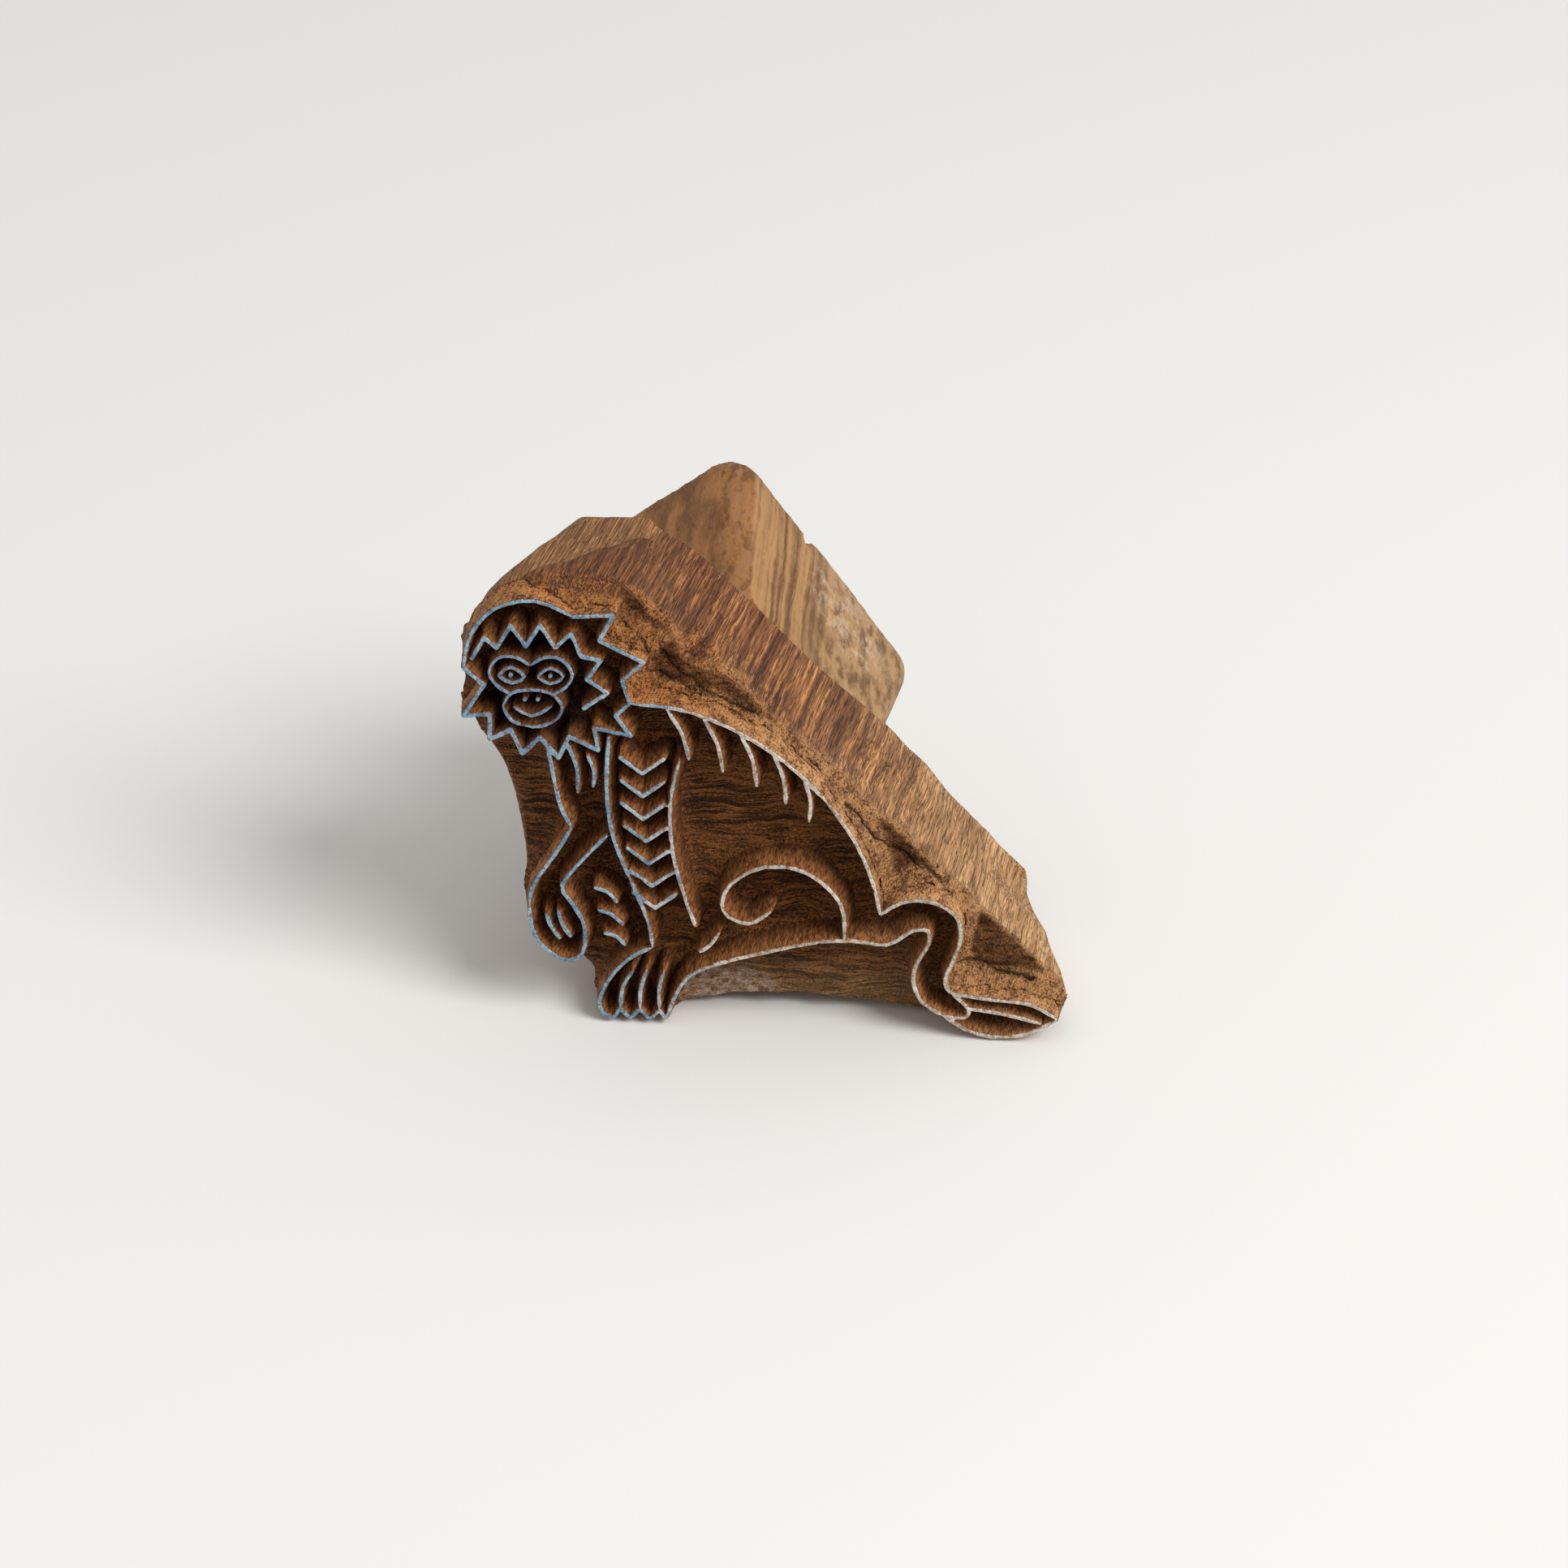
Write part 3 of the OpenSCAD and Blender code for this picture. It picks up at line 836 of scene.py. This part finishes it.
def fibre_tree():
    """Nodes that scatter torn fibres over the rough rim."""
    tree = bpy.data.node_groups.new("torn fibres", "GeometryNodeTree")
    for name, side, kind in (
        ("Body", "INPUT", "Geometry"),
        ("Density", "INPUT", "Float"),
        ("Length", "INPUT", "Float"),
        ("Width", "INPUT", "Float"),
        ("Seed", "INPUT", "Int"),
        ("Paint", "INPUT", "Material"),
        ("Fibres", "OUTPUT", "Geometry"),
    ):
        tree.interface.new_socket(name=name, in_out=side, socket_type="NodeSocket" + kind)
    given = made_node(tree, "NodeGroupInput").outputs
    seed = given["Seed"]
    rough = made_node(tree, "GeometryNodeInputNamedAttribute", {"data_type": "FLOAT"}, {"Name": "rim"})
    values = {0: given["Density"], 1: rough.outputs["Attribute"]}
    amount = made_node(tree, "ShaderNodeMath", {"operation": "MULTIPLY"}, values)
    values = {"Mesh": given["Body"], "Density": amount.outputs["Value"], "Seed": seed}
    scatter = made_node(tree, "GeometryNodeDistributePointsOnFaces", {}, values)
    values = {"Vertices": 3, "Radius Bottom": given["Width"], "Depth": given["Length"]}
    sliver = made_node(tree, "GeometryNodeMeshCone", {}, values)
    least, most = [[math.radians(angle) for angle in angles] for angles in FIBRE_TURNS]
    values = {"Min": least, "Max": most, "Seed": seed}
    turn = made_node(tree, "FunctionNodeRandomValue", {"data_type": "FLOAT_VECTOR"}, values)
    # The sockets of the plain number share their names with other kinds, so they go by place.
    values = {2: FIBRE_GROWTH[0], 3: FIBRE_GROWTH[1], "Seed": seed}
    grow = made_node(tree, "FunctionNodeRandomValue", {"data_type": "FLOAT"}, values)
    values = {
        "Points": scatter.outputs["Points"],
        "Instance": sliver.outputs["Mesh"],
        "Rotation": turn.outputs["Value"],
        "Scale": grow.outputs[1],
    }
    stand = made_node(tree, "GeometryNodeInstanceOnPoints", {}, values)
    real = made_node(tree, "GeometryNodeRealizeInstances", {}, {"Geometry": stand.outputs["Instances"]})
    values = {"Geometry": real.outputs["Geometry"], "Name": "rim", "Value": 1.0}
    keep = made_node(tree, "GeometryNodeStoreNamedAttribute", {}, values)
    values = {"Geometry": keep.outputs["Geometry"], "Material": given["Paint"]}
    dress = made_node(tree, "GeometryNodeSetMaterial", {}, values)
    made_node(tree, "NodeGroupOutput", {}, {"Fibres": dress.outputs["Geometry"]})
    return tree


class PRINTBLOCK_OT_scatter_fibres(bpy.types.Operator):
    """Scatter torn fibres over the rough rim."""

    bl_idname = "printblock.scatter_fibres"
    bl_label = "Scatter fibres"

    def execute(self, context):
        shape = context.scene.fibre_shape
        body = bpy.data.objects["block_body"]
        obj = bpy.data.objects.new("torn_fibres", body.data.copy())
        context.scene.collection.objects.link(obj)
        modifier = obj.modifiers.new("torn fibres", "NODES")
        tree = fibre_tree()
        modifier.node_group = tree
        values = {
            "Density": shape.density,
            "Length": shape.length,
            "Width": shape.width,
            "Seed": shape.seed,
            "Paint": body.data.materials[0],
        }
        for item in tree.interface.items_tree:
            if item.in_out == "INPUT" and item.name in values:
                modifier[item.identifier] = values[item.name]
        settled(obj)
        if not obj.data.polygons:
            raise RuntimeError("no fibre was scattered")
        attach(obj, "root")
        return {"FINISHED"}


class Value:
    """A shader socket that takes part in sums like a number."""

    def __init__(self, paint, socket):
        self.paint = paint
        self.socket = socket

    def __add__(self, other):
        return self.paint.math("ADD", self, other)

    def __radd__(self, other):
        return self.paint.math("ADD", other, self)

    def __sub__(self, other):
        return self.paint.math("SUBTRACT", self, other)

    def __rsub__(self, other):
        return self.paint.math("SUBTRACT", other, self)

    def __mul__(self, other):
        return self.paint.math("MULTIPLY", self, other)

    def __rmul__(self, other):
        return self.paint.math("MULTIPLY", other, self)

    def __truediv__(self, other):
        return self.paint.math("DIVIDE", self, other)

    def __rtruediv__(self, other):
        return self.paint.math("DIVIDE", other, self)


class Paint:
    """A material built up from procedural layers, in millimetres of the object's own place."""

    def __init__(self, name):
        self.material = bpy.data.materials.new(name)
        self.material.use_nodes = True
        self.tree = self.material.node_tree
        self.shader = self.tree.nodes["Principled BSDF"]
        coordinates = self.node("ShaderNodeTexCoord", {}, {})
        values = {0: coordinates["Object"], "Scale": 1 / MM}
        self.place = self.node("ShaderNodeVectorMath", {"operation": "SCALE"}, values)["Vector"]
        parts = self.node("ShaderNodeSeparateXYZ", {}, {0: self.place})
        self.x, self.y, self.z = parts["X"], parts["Y"], parts["Z"]
        facing = self.node("ShaderNodeSeparateXYZ", {}, {0: coordinates["Normal"]})
        self.left = self.step(facing["X"], -0.25, -0.40)
        self.right = self.step(facing["X"], 0.62, 0.74)
        self.end = self.step(facing["Y"], 0.75, 0.9)

    def node(self, kind, settings, values):
        """Makes a node of this material and returns its outputs by name."""
        values = {key: getattr(value, "socket", value) for key, value in values.items()}
        made = made_node(self.tree, kind, settings, values)
        return {out.name: Value(self, out) for out in made.outputs if out.enabled}

    def math(self, operation, a, b=0.0):
        """A Math node on one or two values."""
        return self.node("ShaderNodeMath", {"operation": operation}, {0: a, 1: b})["Value"]

    def step(self, value, low, high):
        """A soft step from 0 at low to 1 at high."""
        settings = {"interpolation_type": "SMOOTHSTEP"}
        values = {"Value": value, "From Min": low, "From Max": high}
        return self.node("ShaderNodeMapRange", settings, values)["Result"]

    def mix(self, share, a, b):
        """Colour a turning into colour b, each a layer or screen values from 0 to 255."""
        a, b = [colour if isinstance(colour, Value) else linear(*colour) for colour in (a, b)]
        return self.node("ShaderNodeMix", {"data_type": "RGBA"}, {0: share, 6: a, 7: b})["Result"]

    def spot(self, a, b, middle, reach, inner, outer):
        """1 in an oval spot and 0 outside it, with a soft border from inner to outer."""
        off_a = (a - middle[0]) / reach[0]
        off_b = (b - middle[1]) / reach[1]
        return 1 - self.step(off_a * off_a + off_b * off_b, inner, outer)

    def noise(self, sizes, detail=2.0, rough=0.5, shift=0.0, place=None):
        """Uneven values about 0.5, with bumps of the given sizes along x, y and z."""
        settings = {"vector_type": "TEXTURE"}
        values = {0: place or self.place, "Location": (shift, shift, shift), "Scale": sizes}
        spots = self.node("ShaderNodeMapping", settings, values)["Vector"]
        values = {"Vector": spots, "Scale": 1.0, "Detail": detail, "Roughness": rough}
        return self.node("ShaderNodeTexNoise", {}, values)["Fac"]

    def thin(self, noise, width):
        """1 along thin lines where an uneven value passes its middle."""
        return 1 - self.step(self.math("ABSOLUTE", noise - 0.5), 0.0, width)

    def stored(self, name):
        """A value kept on the mesh's corners."""
        return self.node("ShaderNodeAttribute", {"attribute_name": name}, {})["Fac"]

    def rings(self, spacing, tilt, wander, sharp):
        """Growth rings across the block's width and height: 1 in the dark late wood of a ring."""
        broad = self.noise((16, 90, 16), 1.0, 0.5, 7.3)
        small = self.noise((3.5, 40, 3.5), 2.0, 0.6, 1.9)
        level = self.z + self.x * tilt + (broad - 0.5) * wander + (small - 0.5) * (wander * 0.22)
        part = self.math("FRACT", level / spacing)
        return self.step(part, 1 - sharp, 0.94) * (1 - self.step(part, 0.94, 1.0))

    def bent(self, x=None, y=None, z=None):
        """A place with some of its three parts changed."""
        values = {"X": x or self.x, "Y": y or self.y, "Z": z or self.z}
        return self.node("ShaderNodeCombineXYZ", {}, values)["Vector"]

    def finish(self, colour, roughness, height, depth):
        """Connects the layers to the shader."""
        values = {"Strength": 1.0, "Distance": depth, "Height": height}
        bump = self.node("ShaderNodeBump", {}, values)["Normal"]
        for name, value in (("Base Color", colour), ("Roughness", roughness), ("Normal", bump)):
            self.tree.links.new(value.socket, self.shader.inputs[name])
        self.shader.inputs["Specular IOR Level"].default_value = 0.2
        return self.material


def block_layers(paint):
    """Reddish-brown wood with its fibres along the depth, as colour and height."""
    aside, up = FIBRE_LEAN
    leaning = paint.bent(paint.x - paint.y * aside, paint.y, paint.z + paint.y * up)
    cloud = paint.noise((9, 18, 9), 2.0, 0.5, 2.2)
    band = paint.noise((1.5, 80.0, 1.5), 2.0, 0.6, 7.3, leaning)
    calm = 1 - paint.step(paint.x + (cloud - 0.5) * 6, *CALM_STREAKS)
    band = paint.step(band + (cloud - 0.5) * 0.2, 0.35, 0.65) * (1 - calm * 0.75) + calm * 0.22
    streak = paint.noise((0.36, 14.0, 0.36), 1.0, 0.5, 5.7, leaning)
    fine = paint.noise((0.17, 5.0, 0.17), 1.0, 0.5, 11.4, leaning)
    strand = paint.step(streak * 0.5 + fine * 0.5, 0.38, 0.62)
    line = paint.thin(paint.noise((0.9, 40.0, 0.9), 2.0, 0.55, 33.4, leaning), 0.035)
    pore = paint.step(paint.noise((0.24, 3.6, 0.24), 1.0, 0.5, 9.2, leaning), 0.57, 0.70)
    tail = paint.step(paint.x + (cloud - 0.5) * 14, *PALER_TAIL)
    gap = paint.mix(band, (66, 33, 17), (122, 73, 40))
    gap = paint.mix(tail, gap, paint.mix(band, (162, 118, 76), (190, 144, 97)))
    pale = paint.mix(band, (110, 62, 33), (192, 130, 76))
    pale = paint.mix(tail, pale, paint.mix(band, (184, 138, 92), (214, 170, 120)))
    crown = paint.step(10.0 - paint.x, 0.0, 12.0)
    behind = paint.stored("behind_ridge") * crown
    gap = paint.mix(behind, gap, (122, 80, 46))
    pale = paint.mix(behind, pale, (170, 120, 74))
    colour = paint.mix(strand, gap, pale)
    colour = paint.mix(line * 0.5, colour, (52, 28, 15))
    colour = paint.mix(pore * (0.55 - behind * 0.35), colour, (42, 22, 12))
    height = strand * 1.1 + pore * -1.2 + line * -1.0
    return colour, height


def rough_cut(paint, colour, height, share):
    """Torn granular wood, where share is 1."""
    grain = paint.noise((0.34, 0.5, 0.34), 3.0, 0.65, 4.4)
    speck = paint.noise((0.24, 0.4, 0.24), 2.0, 0.6, 8.8)
    lump = paint.noise((1.8, 2.8, 1.8), 2.0, 0.5, 13.6)
    back = paint.step(paint.x + (lump - 0.5) * 10, *PALER_RIM)
    warm = paint.mix(back, (188, 124, 69), (198, 145, 94))
    deep = paint.mix(back, (86, 47, 23), (108, 65, 37))
    torn = paint.mix(paint.step(grain * 0.6 + lump * 0.4, 0.39, 0.57), deep, warm)
    torn = paint.mix(paint.step(speck, 0.57, 0.72) * 0.5, torn, (226, 182, 132))
    pit = paint.mix(back, (54, 27, 12), (84, 49, 26))
    torn = paint.mix(paint.step(0.5 - grain, 0.06, 0.18) * 0.6, torn, pit)
    return paint.mix(share, colour, torn), height + share * (grain * 5.0 + speck * 1.5 + lump * 1.2)


def end_grain(paint, colour, height, pale, dark, tilt):
    """Sawn end grain with year rings, on the faces that look back."""
    ring = paint.rings(1.9, tilt, 3.6, 0.7)
    pore = paint.step(paint.noise((0.3, 9.0, 0.3), 2.0, 0.6, 61.0), 0.56, 0.68)
    cloud = paint.step(paint.noise((9, 40, 9), 3.0, 0.55, 63.0), 0.3, 0.7)
    saw = paint.noise((40, 40, 0.5), 2.0, 0.6, 66.0, paint.bent(z=paint.z * 0.9 - paint.x * 0.4))
    sawn = paint.mix(ring * 0.5 + cloud * 0.35 + (saw - 0.5) * 0.5, pale, dark)
    sawn = paint.mix(pore * 0.5, sawn, (44, 25, 14))
    relief = saw * 1.5 - pore * 0.8 - ring * 0.3
    return paint.mix(paint.end, colour, sawn), height + paint.end * (relief - height)


def cracks(paint):
    """1 in the thin cracks along the knife cuts, which are painted dark as their shade."""
    crease = paint.stored("crease")
    jag = (paint.noise((1.1, 3.0, 1.1), 3.0, 0.65, 53.0) - 0.5) * 0.6
    open_part = paint.step(paint.noise((2.6, 9.0, 2.6), 2.0, 0.5, 57.0), 0.36, 0.56)
    from_middle = paint.math("ABSOLUTE", paint.stored("cut_side") + jag)
    main = 1 - paint.step(from_middle, 0.0, 0.10 + open_part * 0.12)
    place = paint.bent((paint.x - paint.z) * 0.7, paint.y, (paint.x + paint.z) * 0.7)
    crack_shade = paint.thin(paint.noise((9.0, 9.0, 0.8), 2.0, 0.5, 51.0, place), 0.04)
    branch = crack_shade * paint.step(crease, 0.10, 0.40)
    return paint.math("MAXIMUM", main * paint.step(crease, 0.20, 0.45), branch * 0.8)


def face_zone(paint):
    """1 on the face, where old dye has soaked in."""
    return paint.spot(paint.x, paint.z, FACE_MIDDLE, FACE_REACH, 0.7, 1.5)


def shaded_pocket(paint, colour, share):
    """The dark corners between the rim and the sides: the wood's layers laid bare, darkened as painted
    shade of these recesses.
    """
    layers = paint.noise((6.0, 20, 0.45), 3.0, 0.6, 17.2)
    crumb = paint.noise((0.45, 1.0, 0.45), 3.0, 0.7, 19.9)
    # Bare layers and crumbs of the wood, darkened as painted shade of the pocket.
    bare = paint.mix(paint.step(crumb * 0.5 + layers * 0.5, 0.42, 0.60), (42, 21, 9), (132, 81, 42))
    return paint.mix(share * 0.85, colour, bare)


def block_paint():
    """The body: streaked sides, granular rim and dark gouged ground, with painted shade in the recess,
    the pockets and the knife cuts.
    """
    paint = Paint("block wood")
    colour, height = block_layers(paint)
    rim = paint.stored("rim")
    colour, height = rough_cut(paint, colour, height, rim)
    colour = shaded_pocket(paint, colour, paint.stored("pocket"))
    ground = paint.stored("cut_ground")
    close = paint.stored("line_near")
    bow = (paint.noise((9, 60, 9), 2.0, 0.5, 44.0) - 0.5) * 3.5
    level = paint.bent(z=paint.z + bow)
    layers = paint.noise((12.0, 40, 0.6), 3.0, 0.55, 36.8, level)
    ring = paint.step(layers, 0.50, 0.62)
    strata = paint.noise((5.0, 40, 0.26), 3.0, 0.6, 39.2, level)
    grain = paint.noise((0.42, 1.0, 0.2), 3.0, 0.6, 6.1)
    spread = paint.step(grain * 0.45 + strata * 0.55, 0.41, 0.58)
    # The ground's dark tones: its wood and old dye residue, darkened further as painted shade of the deep
    # recess.
    dark = paint.mix(spread, (52, 25, 9), (146, 92, 46))
    dark = paint.mix(ring * 0.85, dark, (30, 14, 6))
    foot = paint.mix(paint.step(grain, 0.36, 0.62), (74, 38, 15), (164, 105, 56))
    dark = paint.mix(close * 0.8, dark, foot)
    band = paint.step(9.0 - paint.z, -1.0, 4.0) * paint.step(paint.x, *BELLY_START)
    pale = paint.mix(spread, (102, 72, 43), (160, 120, 76))
    pale = paint.mix(ring * 0.6, pale, (78, 52, 30))
    dark = paint.mix(band * 0.85, dark, pale)
    patch = paint.spot(paint.x, paint.z, CHALK_MIDDLE, CHALK_REACH, 0.3, 1.4)
    chalk = paint.step(paint.noise((1.5, 9, 1.0), 4.0, 0.7, 12.5), 0.36, 0.66) * patch * band
    dark = paint.mix(chalk * 0.75, dark, (214, 186, 166))
    dark = paint.mix(face_zone(paint) * 0.85, dark, (32, 17, 18))
    colour = paint.mix(ground, colour, dark)
    colour, height = end_grain(paint, colour, height, (128, 84, 52), (72, 42, 25), 0.6)
    crack_shade = cracks(paint)
    # Painted shade along the knife creases, darkening the wood beside the groove's own shadow.
    colour = paint.mix(paint.step(paint.stored("crease"), 0.40, 1.0) * 0.35, colour, (40, 20, 9))
    # Thin cracks painted near black: painted shade inside cracks finer than the mesh.
    colour = paint.mix(crack_shade * 0.85, colour, (28, 14, 7))
    roughness = 0.62 + (grain - 0.5) * 0.2 - face_zone(paint) * 0.18
    height = height + ground * (grain * 2.5 + strata) - crack_shade * 2.0
    return paint.finish(colour, roughness, height, 0.00014)


def line_paint():
    """The printing lines: brown walls and tops coated with dried dye."""
    paint = Paint("dyed line wood")
    colour, height = block_layers(paint)
    deep = paint.step(paint.y, *LINE_WALL)
    grain = paint.noise((0.4, 1.6, 0.4), 3.0, 0.65, 2.7)
    spread = paint.step(grain, 0.35, 0.65)
    wall = paint.mix(spread, (90, 50, 24), (172, 113, 64))
    # The walls darken towards the ground: old dye residue and painted shade of the recess.
    residue_and_shade = paint.mix(spread, (44, 22, 9), (110, 67, 35))
    colour = paint.mix(0.8, colour, paint.mix(deep, wall, residue_and_shade))
    colour, height = rough_cut(paint, colour, height, paint.stored("rim"))
    patch = paint.noise((3.4, 9, 3.4), 3.0, 0.6, 14.1)
    fine = paint.noise((0.5, 2.0, 0.5), 2.0, 0.55, 15.9)
    side = paint.step(paint.x + (patch - 0.5) * 16, *BLUE_TO_WHITE)
    tone = paint.step(patch * 0.6 + fine * 0.4, 0.36, 0.64)
    blue = paint.mix(tone, (60, 110, 140), (146, 180, 195))
    white = paint.mix(tone, (140, 128, 114), (212, 204, 194))
    dye = paint.mix(side, blue, white)
    face = face_zone(paint)
    dye = paint.mix(face * 0.4, dye, (96, 100, 132))
    chip_and_glint = paint.noise((0.24, 1.0, 0.24), 2.0, 0.6, 23.5)
    # White flecks on the dye: pale chipped dye and painted highlights.
    dye = paint.mix(paint.step(chip_and_glint, 0.54, 0.68) * (0.3 + side * 0.3), dye, (216, 220, 220))
    dye = paint.mix(paint.step(0.5 - chip_and_glint, 0.06, 0.18) * 0.5, dye, (72, 66, 62))
    colour = paint.mix(face * (0.45 + deep * 0.45), colour, (34, 19, 21))
    flakes = paint.noise((0.8, 3.0, 0.8), 3.0, 0.65, 27.3)
    run = paint.step(paint.stored("top") + (fine - 0.5) * 0.6, 0.30, 0.62)
    bare = paint.step(flakes, 0.36, 0.46)
    colour = paint.mix(run * (0.18 + bare * 0.76), colour, dye)
    roughness = 0.66 + (fine - 0.5) * 0.2 - face * 0.15
    height = (height + grain * 4.0) * (1 - run) + chip_and_glint * run
    return paint.finish(colour, roughness, height, 0.00007)


def grip_paint():
    """The grip: straight pale and dark bands along the depth, worn pale in places."""
    paint = Paint("grip wood")
    wander = (paint.noise((9, 30, 9), 2.0, 0.5, 41.0) - 0.5) * 1.6
    wander = wander + (paint.noise((1.4, 6, 1.4), 2.0, 0.5, 43.0) - 0.5) * 0.9
    along = (paint.x - paint.z) * 0.7 + paint.y * 0.11
    across = paint.bent(along + wander, paint.y, (paint.x + paint.z) * 0.7)
    band = paint.noise((1.05, 160, 5.0), 2.0, 0.5, 21.3, across)
    broad = paint.noise((4.0, 160, 6.0), 1.0, 0.5, 24.9, across)
    fibre = paint.noise((0.22, 6.0, 0.22), 2.0, 0.6, 3.8)
    mottle = paint.noise((1.1, 2.4, 1.1), 3.0, 0.65, 26.1)
    cloud = paint.noise((8, 14, 8), 2.0, 0.5, 6.6)
    pale = paint.mix(paint.left, (166, 124, 79), (166, 113, 67))
    dark = paint.mix(paint.left, (100, 67, 39), (112, 73, 42))
    shown = band * 0.6 + broad * 0.2 + mottle * 0.2 + (cloud - 0.5) * 0.2
    colour = paint.mix(paint.step(shown, 0.39, 0.62), dark, pale)
    colour = paint.mix(paint.step(fibre, 0.46, 0.74) * 0.2, colour, (190, 152, 106))
    colour = paint.mix(paint.step(mottle, 0.54, 0.74) * 0.3, colour, (104, 74, 45))
    top = (1 - paint.left) * (1 - paint.right)
    rubbed = paint.mix(paint.step(mottle * 0.6 + cloud * 0.4, 0.42, 0.58), (104, 66, 37), (150, 101, 58))
    rubbed = paint.mix(paint.step(mottle, 0.52, 0.66) * 0.5, rubbed, (122, 94, 78))
    colour = paint.mix(top * 0.8, colour, rubbed)
    stained = paint.step(paint.x + (cloud - 0.5) * 8, *GRIP_STAIN) * paint.right
    blot = paint.noise((2.4, 5.0, 2.4), 4.0, 0.65, 47.0)
    stain = paint.mix(paint.step(blot, 0.36, 0.60), (104, 74, 47), (168, 132, 92))
    colour = paint.mix(stained * 0.85, colour, stain)
    here = paint.spot(paint.x, paint.y, WORN_MIDDLE, WORN_REACH, 0.2, 1.4)
    worn = paint.step(paint.noise((1.6, 3, 1.6), 4.0, 0.7, 31.0), 0.44, 0.66) * here
    colour = paint.mix(worn * 0.45, colour, (206, 184, 158))
    height = fibre * 0.7 + shown * 0.8
    colour, height = end_grain(paint, colour, height, (166, 122, 78), (104, 70, 42), -0.35)
    return paint.finish(colour, 0.6 + (fibre - 0.5) * 0.2, height, 0.00010)


def peg_paint():
    """The hidden pegs: plain pale wood."""
    paint = Paint("peg wood")
    fibre = paint.noise((0.3, 8.0, 0.3), 2.0, 0.6, 1.3)
    ring = paint.rings(1.1, 0.4, 2.0, 0.5)
    colour = paint.mix(paint.step(fibre, 0.35, 0.65), (170, 122, 78), (206, 162, 116))
    colour = paint.mix(ring * 0.4, colour, (140, 92, 54))
    return paint.finish(colour, 0.6 + fibre * 0.1, fibre + ring * -0.3, 0.00006)


class PRINTBLOCK_OT_set_stage(bpy.types.Operator):
    """Lay the pale floor, light it softly and place the camera."""

    bl_idname = "printblock.set_stage"
    bl_label = "Set stage"

    def execute(self, context):
        look = context.scene.stage_look
        scene = context.scene
        half = look.floor_size / 2
        corners = [(-half, -half, 0), (half, -half, 0), (half, half, 0), (-half, half, 0)]
        floor = piece("floor", corners, [[0, 1, 2, 3]])
        pale = bpy.data.materials.new("pale floor")
        pale.use_nodes = True
        shader = pale.node_tree.nodes["Principled BSDF"]
        shader.inputs["Base Color"].default_value = (*look.floor_colour, 1)
        shader.inputs["Roughness"].default_value = 0.9
        shader.inputs["Specular IOR Level"].default_value = 0.1
        floor.data.materials.append(pale)
        lamp = bpy.data.lights.new("key", "AREA")
        lamp.shape = "DISK"
        lamp.size = look.key_size
        lamp.energy = look.key_watts
        key = bpy.data.objects.new("key", lamp)
        key.location = look.key_place
        aim = Vector((0, 0, look.key_aim)) - key.location
        key.rotation_euler = aim.to_track_quat("-Z", "Y").to_euler()
        scene.collection.objects.link(key)
        world = bpy.data.worlds.new("even light")
        world.use_nodes = True
        back = world.node_tree.nodes["Background"]
        back.inputs["Color"].default_value = (1.0, 0.995, 0.98, 1)
        back.inputs["Strength"].default_value = look.sky_level
        scene.world = world
        scene.view_settings.view_transform = "Standard"
        lens = bpy.data.cameras.new("camera")
        lens.lens = look.camera_lens
        camera = bpy.data.objects.new("camera", lens)
        camera.location = look.camera_place
        camera.rotation_euler = look.camera_turn
        scene.collection.objects.link(camera)
        scene.camera = camera
        return {"FINISHED"}


OPERATORS = (
    PRINTBLOCK_OT_carve_body,
    PRINTBLOCK_OT_raise_lines,
    PRINTBLOCK_OT_shape_grip,
    PRINTBLOCK_OT_finish_pegs,
    PRINTBLOCK_OT_scatter_fibres,
    PRINTBLOCK_OT_set_stage,
)
GROUPS = {
    "block_shape": BlockShape,
    "grip_shape": GripShape,
    "fibre_shape": FibreShape,
    "stage_look": StageLook,
}


class PRINTBLOCK_PT_panel(bpy.types.Panel):
    """Sidebar panel with the steps that make the printing block."""

    bl_idname = "PRINTBLOCK_PT_panel"
    bl_label = "Printing block"
    bl_space_type = "VIEW_3D"
    bl_region_type = "UI"
    bl_category = "Printing block"

    def draw(self, context):
        for operator in OPERATORS:
            self.layout.operator(operator.bl_idname)
        for name, group in GROUPS.items():
            box = self.layout.box()
            for setting in group.__annotations__:
                box.prop(getattr(context.scene, name), setting)


def register():
    for name, group in GROUPS.items():
        bpy.utils.register_class(group)
        setattr(bpy.types.Scene, name, bpy.props.PointerProperty(type=group))
    for item in (*OPERATORS, PRINTBLOCK_PT_panel):
        bpy.utils.register_class(item)


def unregister():
    for item in reversed((*OPERATORS, PRINTBLOCK_PT_panel)):
        bpy.utils.unregister_class(item)
    for name, group in reversed(GROUPS.items()):
        delattr(bpy.types.Scene, name)
        bpy.utils.unregister_class(group)


def main():
    """Makes the whole printing block."""
    register()
    bpy.ops.printblock.carve_body()
    bpy.ops.printblock.raise_lines()
    bpy.ops.printblock.shape_grip()
    bpy.ops.printblock.finish_pegs()
    bpy.ops.printblock.scatter_fibres()
    bpy.ops.printblock.set_stage()
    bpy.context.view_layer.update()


if __name__ == "__main__":
    main()
